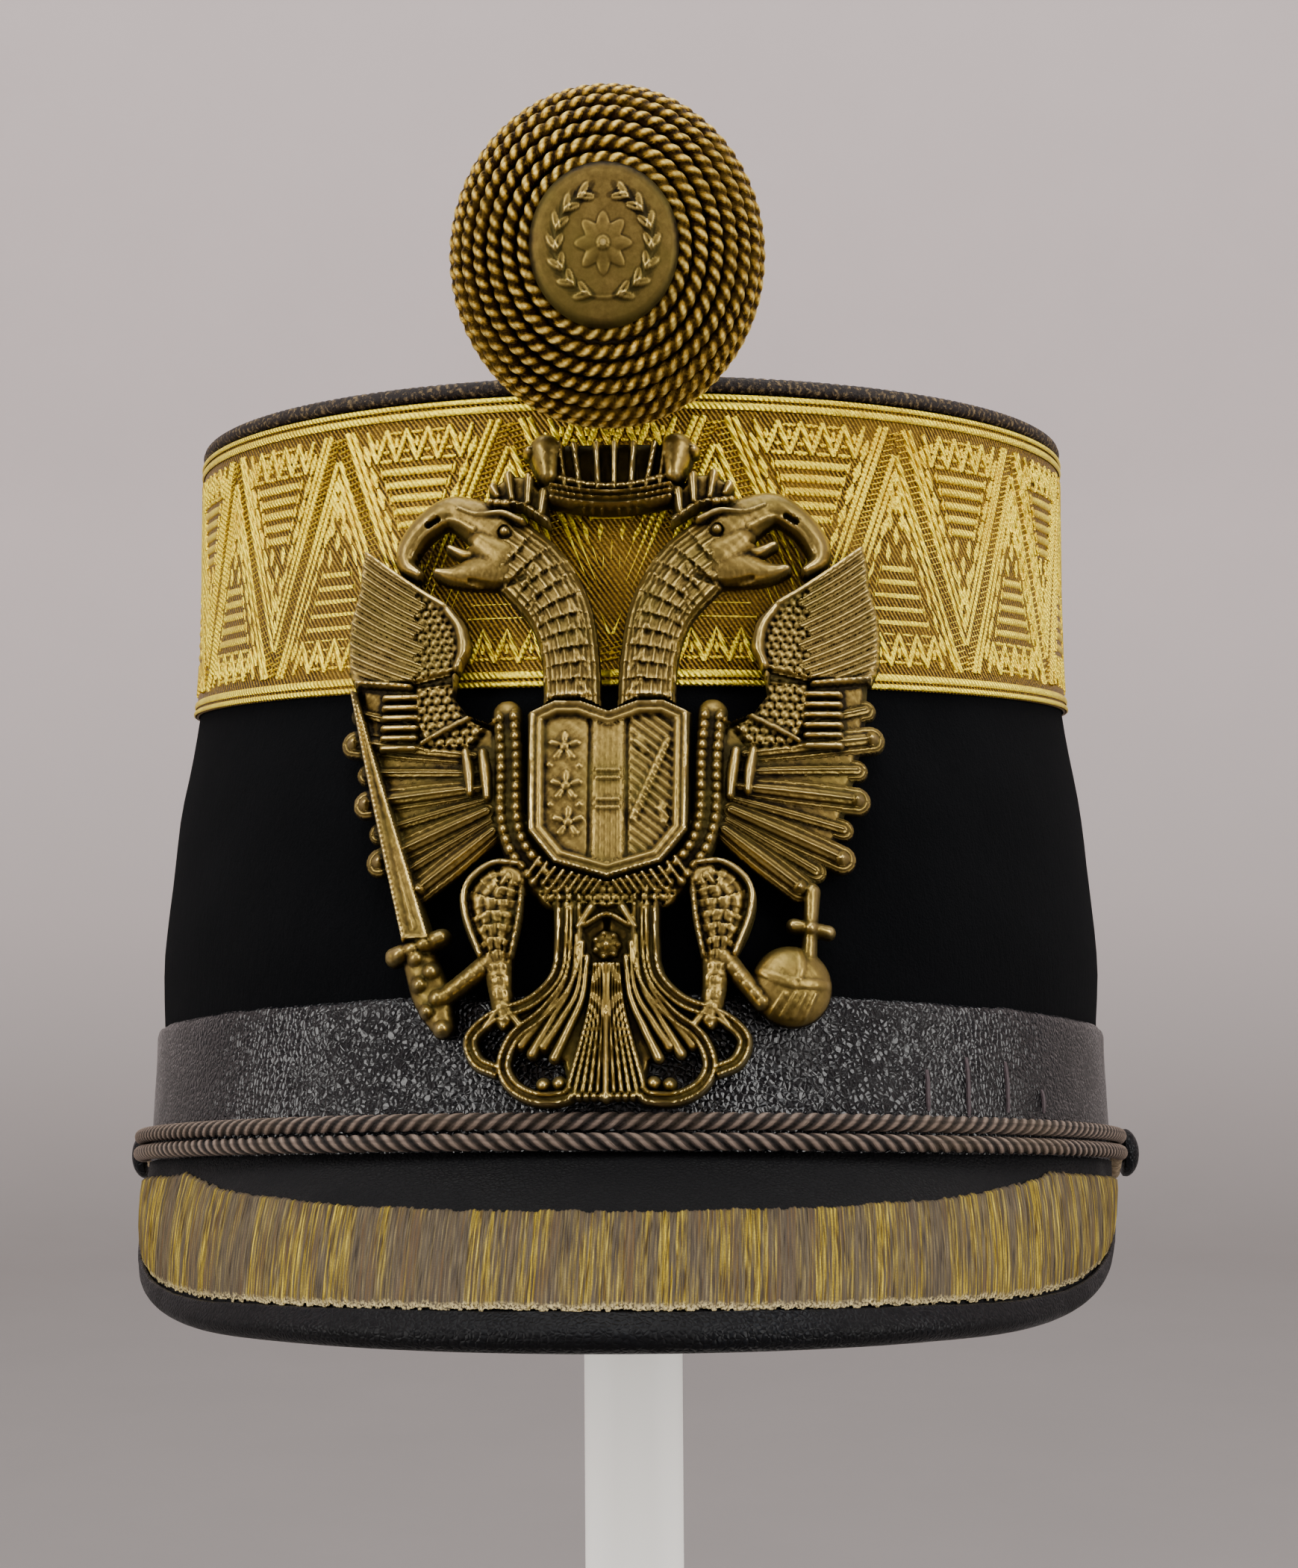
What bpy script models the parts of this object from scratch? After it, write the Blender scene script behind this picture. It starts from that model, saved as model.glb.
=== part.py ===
"""Laced dress shako with a double-headed eagle badge, on a plain white post stand.

Metres, +Z up, the hat faces -Y. The origin is the middle of the stand's underside, on its post.
The hat is drawn upright in its own frame, whose origin is the middle of its bottom edge, and is
then tipped back on the stand until its sloping lid lies level on the stand's pad.
Angles round the hat start at the front (0) and grow towards +X.
"""

import math

import bmesh
import bpy
import numpy as np

# Overall sizes of the felt body, measured on its outer face
BASE_HALF_WIDTH = 0.0821
BASE_HALF_LENGTH = 0.0992
TOP_HALF_WIDTH = 0.0788
TOP_HALF_LENGTH = 0.0881
TOP_SETBACK = 0.0060
HAT_HEIGHT = 0.1280
LID_SLOPE = math.radians(8.5)
WAIST_INSET = 0.0018
FELT_WALL = 0.0025

# Clearance between neighbouring pieces
SEAT_GAP = 0.0003

# Bands round the body
LEATHER_HEIGHT = 0.0217
LEATHER_THICKNESS = 0.0011
LEATHER_EDGE = 0.0006
LACE_HEIGHT = 0.0470
LACE_THICKNESS = 0.0009

# Lid and the piping round it
LID_THICKNESS = 0.0020
LID_RECESS = 0.0030
PIPING_DIAMETER = 0.0026
PIPING_OFFSET = -0.0003

# Visor: plate, lace strip and edge binding
VISOR_REACH = 0.0319
VISOR_SIDE_REACH = -0.0024
VISOR_DROP = 0.0226
VISOR_CROWN = 0.0010
VISOR_THICKNESS = 0.0016
VISOR_END_ANGLE = math.radians(84.0)
VISOR_DROP_SPREAD = 0.78
VISOR_DROP_POWER = 0.80
BINDING_WIDTH = 0.0029
BINDING_UNDER_WIDTH = 0.0027
BINDING_THICKNESS = 0.0008
# Widest share of the upper fold that the lower one takes, and how far from the edge the folds are flat
BINDING_UNDER_SHARE = 0.8
BINDING_EASE = 0.1
BINDING_NOSE_TURNS = (60.0, 30.0, 0.0, -30.0, -60.0)
# Room left for the cords beside the binding, in cord diameters
BINDING_CORD_ROOM = 1.35
VISOR_LACE_WIDTH = 0.0198
VISOR_LACE_THICKNESS = 0.0007
# The lace ends where this share of its width is left
VISOR_LACE_LEAST = 0.10

# Chin cords and the side buttons that hold them
CORD_DIAMETER = 0.0025
BUTTON_HEIGHT = 0.0015
BUTTON_DIAMETER = 0.0085
BUTTON_CAP_HEIGHT = 0.0030
BUTTON_SHANK_DIAMETER = 0.0036
# Dome of the button's cap: share of the cap's radius, share of its height
BUTTON_DOME = ((0.92, 0.0), (1.0, 0.2), (0.82, 0.62), (0.45, 0.92))
# The cords leave the hat's curve this many button rings before the button, then turn round it
CORD_LEAVE = 2.2
UPPER_CORD_TURNS = (90.0, 45.0, 0.0, -40.0)
LOWER_CORD_TURNS = (-110.0, -90.0, -75.0)

# Badge: how far its foot and its top stay from the edges of the hat's front
BADGE_FOOT_RISE = 0.0055
BADGE_TOP_DROP = 0.0072
BADGE_CLEARANCE = 0.0007
BADGE_PLATE = 0.0010
BADGE_RELIEF = 0.0042

# Cockade
COCKADE_WIDTH = 0.0466
COCKADE_HEIGHT = 0.0502
COCKADE_DEPTH = 0.0215
COCKADE_FULLEST = 0.50
COCKADE_ROPE = 0.0024
# How far the dome turns in behind its widest ring, how much closer its turns lie, and how they swell
COCKADE_BACK = math.radians(38.0)
COCKADE_PACKING = 0.80
COCKADE_SWELL = 0.45
COCKADE_RISE = 0.0175
COCKADE_STANDOFF = 0.0060
COCKADE_DROOP = math.radians(5.0)
COCKADE_DISC_WIDTH = 0.0214
COCKADE_DISC_HEIGHT = 0.0236
COCKADE_DISC_THICKNESS = 0.0030
# Front of the disc: share of its radius, share of its thickness
DISC_PROFILE = ((1.00, 0.0), (1.00, 0.55), (0.94, 0.80), (0.84, 0.62), (0.55, 0.88))
STEM_WIDTH = 0.0120
STEM_BELOW_RIM = 0.0025
STEM_ABOVE_RIM = 0.0070

# Stand
SEAM_HEIGHT = 0.2500
POST_DIAMETER = 0.0175
PAD_DIAMETER = 0.0900
PAD_THICKNESS = 0.0080
PAD_SOCKET = 0.0050
BASE_DIAMETER = 0.1800
BASE_THICKNESS = 0.0140
BASE_SOCKET = 0.0100
STAND_EDGE = 0.0020

# How finely round forms are faceted
RING_STEPS = 48
VISOR_STEPS = 30
VISOR_CROWDING = 0.12
CORD_STEPS = 34
CORD_SIDES = 8
PIPING_SIDES = 6
COCKADE_SIDES = 26
STAND_SIDES = 28
BADGE_STEP = 1.45
BADGE_KEEP = 0.27

# The lid lies level, so the hat is tipped back by the slope of its lid
HAT_TILT = LID_SLOPE

# Waist of the body: height share, share of the waist inset
WAIST_TABLE = (
    (0.00, 0.00),
    (0.15, -0.10),
    (0.27, -0.75),
    (0.38, -0.50),
    (0.48, -0.15),
    (0.57, 0.60),
    (0.64, 1.00),
    (0.76, 0.90),
    (0.89, 0.45),
    (1.00, 0.00),
)

# The badge is drawn in units of which its full height holds this many.
# x is taken from the middle towards the wearer's left, z from the foot, r is a half width.
BADGE_UNITS = 102.0

# Pieces that stand on both sides: x, z, r along each stroke, then its rise as a share of the relief
NECK = ((5.3, 57.0, 4.3), (5.8, 66.0, 4.3), (7.6, 73.5, 4.8), (12.0, 80.0, 5.6), (17.0, 84.5, 6.0))
JAW = ((17.0, 82.0, 5.5), (22.0, 80.5, 3.2), (26.0, 79.8, 1.7), (29.0, 80.6, 0.9))
BEAK = ((19.0, 88.0, 4.5), (24.5, 90.0, 3.6), (29.5, 87.5, 2.3), (33.0, 84.0, 1.5), (33.8, 81.3, 0.8))
TONGUE = ((21.0, 84.5, 1.2), (26.0, 84.2, 1.1), (29.6, 85.0, 0.8))
RIBBON = ((8.0, 90.6, 1.3), (11.5, 88.4, 1.3), (14.0, 86.0, 1.4))
CHAIN = ((15.0, 57.5, 2.4), (14.4, 50.0, 2.2), (14.2, 42.0, 2.2), (12.8, 37.0, 2.3), (9.5, 32.5, 2.5),
         (4.5, 29.6, 2.6), (-0.5, 28.8, 2.6))
THIGH = ((14.0, 32.5, 3.2), (16.2, 30.0, 4.6), (16.2, 26.5, 4.2), (15.6, 21.5, 2.6), (15.0, 17.0, 1.8),
         (14.3, 12.6, 1.7))
WING_ROOT = ((21.5, 63.0), (20.5, 56.0), (18.5, 46.0), (16.5, 39.5))
WING_TIPS = ((37.8, 84.6), (38.6, 76.0), (38.9, 65.0), (38.4, 54.8), (35.9, 45.0), (33.4, 36.0),
             (27.2, 31.4))
FEATHERS = 13
FEATHER_HALF_WIDTHS = (2.2, 1.7)
FEATHER_INSET = (0.0, 1.2)
FEATHER_ROOT_SHARE = 0.7
FEATHER_RISES = (0.55, 0.43)
WING_BONE = ((24.0, 71.0, 3.0), (23.0, 65.0, 3.4), (20.0, 57.0, 3.2), (18.0, 47.0, 3.0))
WING_FIELD = ((39.2, 86.0), (34.5, 80.5), (30.0, 76.5), (25.5, 74.8), (21.5, 72.5), (20.6, 68.0),
              (22.5, 64.5), (23.0, 60.5), (20.6, 57.2), (16.4, 55.6), (14.5, 50.0), (14.2, 40.0),
              (15.6, 37.6), (21.0, 33.5), (26.5, 31.0), (32.0, 36.0), (35.0, 46.0), (37.5, 56.0),
              (38.4, 66.0), (38.6, 77.0))
SMALL_CROWN = ((11.4, 93.0), (13.4, 90.0), (21.8, 90.5), (26.0, 97.0), (23.5, 99.4), (19.0, 101.2),
               (14.5, 99.6), (11.4, 98.6))
TAIL_STRANDS = (
    ((6.0, 31.0, 1.5), (6.0, 24.0, 1.3), (6.8, 18.5, 1.2), (10.5, 14.6, 1.2), (15.5, 12.6, 1.1),
     (18.0, 9.4, 1.1), (17.0, 6.4, 1.1), (14.6, 5.2, 1.1)),
    ((4.6, 31.0, 1.5), (4.4, 24.0, 1.3), (5.2, 18.0, 1.3), (8.8, 13.2, 1.3), (12.6, 10.2, 1.3),
     (14.3, 6.3, 1.2), (13.0, 3.2, 1.2), (9.8, 1.5, 1.2), (6.0, 1.5, 1.2), (4.6, 2.4, 1.2)),
    ((3.6, 29.0, 1.4), (3.4, 22.0, 1.3), (4.2, 16.0, 1.3), (7.0, 11.5, 1.3), (9.2, 9.2, 1.2)),
    ((2.8, 27.0, 1.4), (3.0, 18.0, 1.4), (4.4, 12.5, 1.4), (6.2, 8.6, 1.2)),
    ((1.9, 27.0, 1.3), (1.8, 16.0, 1.3), (3.0, 7.0, 1.3), (4.3, 1.6, 1.3)),
    ((0.6, 27.0, 1.2), (0.6, 14.0, 1.2), (1.2, 6.0, 1.3), (1.9, 1.3, 1.3)),
)
TAIL_BEADS = ((8.7, 3.4, 1.1), (6.5, 3.6, 1.1))

# Pieces in the middle
SHIELD = ((-12.0, 57.4), (-8.0, 59.3), (-4.0, 59.2), (0.0, 57.6), (4.0, 59.2), (8.0, 59.3),
          (12.0, 57.4), (11.7, 39.0), (7.8, 34.0), (0.0, 31.6), (-7.8, 34.0), (-11.7, 39.0))
CROWN_FIELD = ((-9.5, 91.0), (9.5, 91.0), (12.4, 97.0), (12.4, 99.8), (-12.4, 99.8), (-12.4, 97.0))
CROWN_BAND = ((-8.9, 91.7, 1.8), (-4.5, 90.7, 1.8), (0.0, 90.3, 1.8), (4.5, 90.7, 1.8), (8.9, 91.7, 1.8))
CROWN_LOBE = ((9.6, 96.2, 2.6), (10.0, 99.0, 2.7))
HIP = ((-7.5, 30.5, 2.6), (7.5, 30.5, 2.6))

# The sword on the wearer's right, and the orb with its cross on the left
BLADE = ((-39.6, 62.5), (-38.2, 63.5), (-24.4, 23.5), (-29.2, 23.5))
GUARD = ((-30.6, 21.8, 1.5), (-27.0, 23.0, 1.4), (-23.6, 24.3, 1.4))
GRIP = ((-26.6, 20.5, 3.0), (-25.0, 16.0, 3.2), (-23.2, 11.6, 1.7))
GRASP = ((-16.0, 21.0, 1.8), (-19.5, 18.4, 1.5), (-23.4, 15.6, 1.4))
ORB = ((25.8, 17.2, 5.8),)
ORB_GRASP = ((16.0, 21.5, 1.8), (18.4, 18.6, 1.5), (21.6, 15.0, 1.5))
CROSS_POST = ((28.3, 21.5, 1.2), (28.6, 26.0, 1.1), (28.9, 31.0, 1.3))
CROSS_ARM = ((26.2, 25.9, 1.1), (31.2, 25.1, 1.1))


def smooth_table(table, value):
    """Read a two-column table at value, along a smooth curve through its rows."""
    rows = np.array(table)
    at, level = rows[:, 0], rows[:, 1]
    slope = np.gradient(level, at)
    value = np.asarray(value, dtype=float)
    span = np.clip(np.searchsorted(at, value) - 1, 0, len(at) - 2)
    width = at[span + 1] - at[span]
    t = np.clip((value - at[span]) / width, 0.0, 1.0)
    near = (2 * t**3 - 3 * t**2 + 1) * level[span] + (t**3 - 2 * t**2 + t) * width * slope[span]
    far = (3 * t**2 - 2 * t**3) * level[span + 1] + (t**3 - t**2) * width * slope[span + 1]
    return near + far


def curve_through(points, per_span):
    """Points along a smooth curve through the given rows; every column is carried along."""
    rows = np.array(points, dtype=float)
    padded = np.vstack([2 * rows[0] - rows[1], rows, 2 * rows[-1] - rows[-2]])
    out = []
    for index in range(1, len(padded) - 2):
        before, start, end, after = padded[index - 1:index + 3]
        for step in range(per_span):
            t = step / per_span
            out.append(0.5 * (2 * start + (end - before) * t
                              + (2 * before - 5 * start + 4 * end - after) * t**2
                              + (3 * start - before - 3 * end + after) * t**3))
    out.append(rows[-1])
    return np.array(out)


def wall_height(angle, offset=0.0):
    """Height of the lid's plane over the wall, which is lower at the front."""
    return HAT_HEIGHT - (TOP_HALF_LENGTH + offset) * np.cos(angle) * math.tan(LID_SLOPE)


def wall_section(share):
    """Half width, half length and centre of the felt's outer face at a share of its height."""
    inset = WAIST_INSET * smooth_table(WAIST_TABLE, share)
    half_width = BASE_HALF_WIDTH + (TOP_HALF_WIDTH - BASE_HALF_WIDTH) * share - inset
    half_length = BASE_HALF_LENGTH + (TOP_HALF_LENGTH - BASE_HALF_LENGTH) * share - inset
    return half_width, half_length, TOP_SETBACK * share


def wall_points(angle, share, offset):
    """Points on the body, a given distance outside the felt's outer face."""
    half_width, half_length, centre = wall_section(share)
    x = (half_width + offset) * np.sin(angle)
    y = centre - (half_length + offset) * np.cos(angle)
    z = share * wall_height(angle, offset)
    return np.stack(np.broadcast_arrays(x, y, z), axis=-1)


def wall_points_at(angle, height, offset):
    """The same, at a height above the bottom edge."""
    return wall_points(angle, height / wall_height(angle, offset), offset)


def lid_points(angle, offset, lift):
    """Points on a plane parallel to the lid's, a lift above the wall's top edge."""
    points = wall_points(angle, 1.0, offset)
    points[..., 2] += lift
    return points


def visor_ruling(angle):
    """Inner and outer end of the visor's top face at an angle."""
    half_width = BASE_HALF_WIDTH + LEATHER_THICKNESS + SEAT_GAP
    half_length = BASE_HALF_LENGTH + LEATHER_THICKNESS + SEAT_GAP
    reach = np.clip(np.cos(angle) / VISOR_DROP_SPREAD, 0.0, 1.0)
    drop = VISOR_DROP * np.sin(0.5 * math.pi * reach) ** VISOR_DROP_POWER
    inner = np.stack([half_width * np.sin(angle), -half_length * np.cos(angle),
                      -SEAT_GAP + 0.0 * angle], axis=-1)
    outer = np.stack([(half_width + VISOR_SIDE_REACH) * np.sin(angle),
                      -(half_length + VISOR_REACH) * np.cos(angle), -SEAT_GAP - drop], axis=-1)
    return inner, outer


def visor_frame(angle):
    """Inner end, unit direction outwards, unit normal upwards and length of each ruling."""
    inner, outer = visor_ruling(angle)
    run = outer - inner
    length = np.linalg.norm(run, axis=-1)
    along = run / length[..., None]
    step = 1e-3
    tangent = visor_ruling(angle + step)[1] - visor_ruling(angle - step)[1]
    normal = np.cross(tangent, along)
    up_and_out = np.stack([np.sin(angle), -np.cos(angle), 1.0 + 0.0 * angle], axis=-1)
    side = np.sign(np.sum(normal * up_and_out, axis=-1))
    normal *= (side / np.linalg.norm(normal, axis=-1))[..., None]
    return inner, along, normal, length


def visor_points(angle, distance, lift):
    """Points a distance out from the seam along the visor, a lift above its top face."""
    inner, along, normal, length = visor_frame(angle)
    share = np.clip(distance / length, 0.0, 1.0)
    crown = VISOR_CROWN * 4.0 * share * (1.0 - share) * np.clip(length / VISOR_REACH, 0.0, 1.0)
    return inner + along * np.asarray(distance)[..., None] + normal * np.asarray(lift + crown)[..., None]


def clear_scene():
    for item in list(bpy.data.objects):
        bpy.data.objects.remove(item, do_unlink=True)


def make_material(name, colour, roughness, metallic=0.0):
    material = bpy.data.materials.new(name)
    material.use_nodes = True
    shader = material.node_tree.nodes["Principled BSDF"]
    shader.inputs["Base Color"].default_value = (*colour, 1.0)
    shader.inputs["Roughness"].default_value = roughness
    shader.inputs["Metallic"].default_value = metallic
    return material


def add_piece(name, vertices, faces, material, parent=None, sharp_angle=math.radians(40.0)):
    """One closed body, its faces turned outwards."""
    mesh = bpy.data.meshes.new(name)
    mesh.from_pydata([tuple(map(float, vertex)) for vertex in vertices], [], faces)
    shape = bmesh.new()
    shape.from_mesh(mesh)
    bmesh.ops.recalc_face_normals(shape, faces=shape.faces)
    shape.to_mesh(mesh)
    shape.free()
    mesh.materials.append(material)
    mesh.shade_smooth()
    mesh.set_sharp_from_angle(angle=sharp_angle)
    piece = bpy.data.objects.new(name, mesh)
    bpy.context.collection.objects.link(piece)
    piece.parent = parent
    return piece


def join_rings(rings, closed_profile=False, first_pole=None, last_pole=None):
    """Faces between equal rings of points, with a pole or the first ring to close each end."""
    sides = len(rings[0])
    vertices = [point for ring in rings for point in ring]
    pairs = list(zip(range(len(rings) - 1), range(1, len(rings))))
    if closed_profile:
        pairs.append((len(rings) - 1, 0))
    faces = []
    for low, high in pairs:
        for side in range(sides):
            after = (side + 1) % sides
            faces.append((low * sides + side, low * sides + after,
                          high * sides + after, high * sides + side))
    for pole, ring in ((first_pole, 0), (last_pole, len(rings) - 1)):
        if pole is None:
            continue
        vertices.append(pole)
        for side in range(sides):
            after = (side + 1) % sides
            faces.append((ring * sides + after, ring * sides + side, len(vertices) - 1))
    return vertices, faces


def join_sections(sections):
    """Faces along a row of equal closed outlines, with flat ends."""
    vertices, faces = join_rings(sections)
    sides = len(sections[0])
    last = (len(sections) - 1) * sides
    faces.append(tuple(range(sides)))
    faces.append(tuple(range(last + sides - 1, last - 1, -1)))
    return vertices, faces


def ring_angles():
    return np.arange(RING_STEPS) * 2.0 * math.pi / RING_STEPS


def visor_angles(end=VISOR_END_ANGLE):
    """Angles across the visor, closer together towards its ends, where it turns most."""
    share = np.linspace(-1.0, 1.0, VISOR_STEPS + 1)
    return end * (share + VISOR_CROWDING * np.sin(math.pi * share))


def make_felt_shell(material, parent):
    """The body: a felt wall, open below."""
    angle = ring_angles()
    outer_shares = (0.0, 0.15, 0.27, 0.38, 0.48, 0.57, 0.66, 0.80, 1.0)
    inner_shares = (1.0, 0.66, 0.27, 0.0)
    rings = [wall_points(angle, share, 0.0) for share in outer_shares]
    rings += [wall_points(angle, share, -FELT_WALL) for share in inner_shares]
    return add_piece("felt_shell", *join_rings(rings, closed_profile=True), material, parent)


def make_leather_band(material, parent):
    """Leather strip round the foot of the body, its upper edge skived."""
    angle = ring_angles()
    inner = SEAT_GAP
    outer = SEAT_GAP + LEATHER_THICKNESS
    skived = LEATHER_HEIGHT - LEATHER_EDGE
    rings = [
        wall_points_at(angle, 0.0, outer),
        wall_points_at(angle, skived, outer),
        wall_points_at(angle, LEATHER_HEIGHT, outer - LEATHER_EDGE),
        wall_points_at(angle, LEATHER_HEIGHT, inner),
        wall_points_at(angle, 0.0, inner),
    ]
    return add_piece("leather_band", *join_rings(rings, closed_profile=True), material, parent)


def make_lace_band(material, parent):
    """The wide lace round the top of the body, level with the lid's plane."""
    angle = ring_angles()
    inner = SEAT_GAP
    outer = SEAT_GAP + LACE_THICKNESS
    rings = []
    for share in (0.0, 0.5, 1.0):
        height = wall_height(angle, outer) - LACE_HEIGHT * (1.0 - share)
        rings.append(wall_points_at(angle, height, outer))
    for share in (1.0, 0.5, 0.0):
        height = wall_height(angle, inner) - LACE_HEIGHT * (1.0 - share)
        rings.append(wall_points_at(angle, height, inner))
    return add_piece("lace_band", *join_rings(rings, closed_profile=True), material, parent)


def make_lid(material, parent):
    """The lid: a dished leather disc whose rim rests on the felt's top edge."""
    angle = ring_angles()
    inside = -(FELT_WALL + SEAT_GAP)
    rim = PIPING_OFFSET - 0.5 * PIPING_DIAMETER - SEAT_GAP
    floor = -LID_RECESS
    rings = [
        lid_points(angle, inside, floor),
        lid_points(angle, inside, SEAT_GAP),
        lid_points(angle, rim, SEAT_GAP),
        lid_points(angle, rim, SEAT_GAP + LID_THICKNESS),
        lid_points(angle, inside - LID_THICKNESS, SEAT_GAP + LID_THICKNESS),
        lid_points(angle, inside - 2.0 * LID_THICKNESS, floor + LID_THICKNESS),
    ]
    centre = np.array([0.0, TOP_SETBACK, HAT_HEIGHT])
    below = centre + (0.0, 0.0, floor)
    above = centre + (0.0, 0.0, floor + LID_THICKNESS)
    shape = join_rings(rings, first_pole=below, last_pole=above)
    return add_piece("crown_lid", *shape, material, parent)


def make_piping(material, parent):
    """Leather-covered cord round the lid, lying on the top edges of the felt and the lace."""
    angle = ring_angles()
    radius = 0.5 * PIPING_DIAMETER
    rings = []
    for side in range(PIPING_SIDES):
        turn = 2.0 * math.pi * side / PIPING_SIDES
        offset = PIPING_OFFSET + radius * math.cos(turn)
        lift = SEAT_GAP + radius + radius * math.sin(turn)
        rings.append(lid_points(angle, offset, lift))
    return add_piece("rim_piping", *join_rings(rings, closed_profile=True), material, parent)


def binding_reach(length):
    """How far the binding comes in from the visor's edge; it narrows towards the visor's ends."""
    cord_room = BINDING_CORD_ROOM * CORD_DIAMETER + 3.0 * SEAT_GAP
    return np.minimum(BINDING_WIDTH, length - cord_room)


def make_visor_plate(material, parent):
    """The visor, with a flange that is sewn up under the body's bottom edge."""
    angle = visor_angles()
    length = visor_frame(angle)[3]
    flange = wall_points_at(angle, 0.0, -FELT_WALL)
    flange[:, 2] -= SEAT_GAP
    loops = [flange]
    for share in (0.0, 0.25, 0.5, 0.75, 1.0):
        loops.append(visor_points(angle, share * length, 0.0))
    for share in (1.0, 0.6, 0.3, 0.12):
        below = visor_points(angle, share * length, -VISOR_THICKNESS)
        below[:, 2] = np.minimum(below[:, 2], -SEAT_GAP - VISOR_THICKNESS * (1.0 + share))
        loops.append(below)
    under = flange.copy()
    under[:, 2] -= VISOR_THICKNESS
    loops.append(under)
    sections = np.stack(loops, axis=1)
    return add_piece("visor_plate", *join_sections(list(sections)), material, parent)


def make_visor_binding(material, parent):
    """Leather folded over the visor's edge."""
    angle = visor_angles()
    length = visor_frame(angle)[3]
    over = binding_reach(length)
    under = np.minimum(BINDING_UNDER_WIDTH, BINDING_UNDER_SHARE * over)
    top = SEAT_GAP
    bottom = -VISOR_THICKNESS - SEAT_GAP
    nose = 0.5 * (top - bottom) + BINDING_THICKNESS
    middle = 0.5 * (top + bottom)
    loops = [
        visor_points(angle, length - over, top + 0.0 * angle),
        visor_points(angle, length - over + 0.5 * BINDING_THICKNESS, top + BINDING_THICKNESS),
        visor_points(angle, length - BINDING_EASE * over, top + BINDING_THICKNESS),
    ]
    for turn in BINDING_NOSE_TURNS:
        tilt = math.radians(turn)
        loops.append(visor_points(angle, length + nose * math.cos(tilt), middle + nose * math.sin(tilt)))
    loops += [
        visor_points(angle, length - BINDING_EASE * over, bottom - BINDING_THICKNESS),
        visor_points(angle, length - under + 0.5 * BINDING_THICKNESS, bottom - BINDING_THICKNESS),
        visor_points(angle, length - under, bottom),
        visor_points(angle, length + SEAT_GAP, bottom),
        visor_points(angle, length + SEAT_GAP, top),
    ]
    sections = np.stack(loops, axis=1)
    return add_piece("visor_binding", *join_sections(list(sections)), material, parent)


def visor_lace_angles():
    """The lace ends where the binding's inner edge has come close to the cords."""
    fine = np.linspace(0.0, VISOR_END_ANGLE, 800)
    length = visor_frame(fine)[3]
    room = length - binding_reach(length) - cord_clear_distance()
    least = VISOR_LACE_LEAST * VISOR_LACE_WIDTH
    end = fine[np.argmax(room < least) - 1]
    return visor_angles(end)


def cord_clear_distance():
    """Where the lower cord's outer side comes down on the visor."""
    return CORD_DIAMETER + 2.0 * SEAT_GAP


def make_visor_lace(material, parent):
    """Lace strip sewn on the visor, inside the binding."""
    angle = visor_lace_angles()
    length = visor_frame(angle)[3]
    low = length - binding_reach(length) - SEAT_GAP
    high = np.maximum(low - VISOR_LACE_WIDTH, cord_clear_distance())
    loops = []
    for share in (0.0, 0.35, 0.7, 1.0):
        loops.append(visor_points(angle, high + (low - high) * share, SEAT_GAP + VISOR_LACE_THICKNESS))
    for share in (1.0, 0.5, 0.0):
        loops.append(visor_points(angle, high + (low - high) * share, SEAT_GAP))
    sections = np.stack(loops, axis=1)
    return add_piece("visor_lace", *join_sections(list(sections)), material, parent)


def cord_heights():
    """Heights of the lower and the upper cord's centre above the seam, against the leather."""
    radius = 0.5 * CORD_DIAMETER
    slope = VISOR_DROP / VISOR_REACH
    reach = radius + SEAT_GAP
    lower = reach * math.sqrt(1.0 + slope**2) - slope * reach + SEAT_GAP
    return lower, lower + CORD_DIAMETER + SEAT_GAP


def cord_route(upper):
    """Centre line of one chin cord, round its button at each end."""
    radius = 0.5 * CORD_DIAMETER
    offset = SEAT_GAP + LEATHER_THICKNESS + SEAT_GAP + radius
    lower_height, upper_height = cord_heights()
    button_ring = 0.5 * BUTTON_SHANK_DIAMETER + SEAT_GAP + radius
    half_length = BASE_HALF_LENGTH + offset
    leave = 0.5 * math.pi - CORD_LEAVE * button_ring / half_length
    span = np.linspace(-leave, leave, CORD_STEPS - 5)
    height = upper_height if upper else lower_height
    middle = wall_points_at(span, height + 0.0 * span, offset)
    turns = np.radians(UPPER_CORD_TURNS if upper else LOWER_CORD_TURNS)
    ends = []
    for turn in turns:
        aside = button_ring * math.cos(turn) / half_length
        rise = BUTTON_HEIGHT + button_ring * math.sin(turn)
        ends.append(wall_points_at(np.array(0.5 * math.pi + aside), rise, offset))
    right = np.array(ends)
    left = right[::-1] * (-1.0, 1.0, 1.0)
    return np.vstack([left, middle, right])


def make_cord(name, upper, material, parent):
    """One twisted chin cord, drawn as a plain round bar."""
    route = cord_route(upper)
    forward = np.gradient(route, axis=0)
    forward /= np.linalg.norm(forward, axis=1)[:, None]
    outward = np.cross(forward, (0.0, 0.0, 1.0))
    outward /= np.linalg.norm(outward, axis=1)[:, None]
    upward = np.cross(outward, forward)
    sections = []
    for point, side, top in zip(route, outward, upward):
        turn = np.arange(CORD_SIDES) * 2.0 * math.pi / CORD_SIDES
        ring = point + 0.5 * CORD_DIAMETER * (np.outer(np.cos(turn), side) + np.outer(np.sin(turn), top))
        sections.append(ring)
    return add_piece(name, *join_sections(sections), material, parent)


def turned_rings(profile, sides):
    """Rings for a shape turned about Z: radius, height rows from one end to the other."""
    turn = np.arange(sides) * 2.0 * math.pi / sides
    return [np.stack([radius * np.cos(turn), radius * np.sin(turn), height + 0.0 * turn], axis=1)
            for radius, height in profile]


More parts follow.
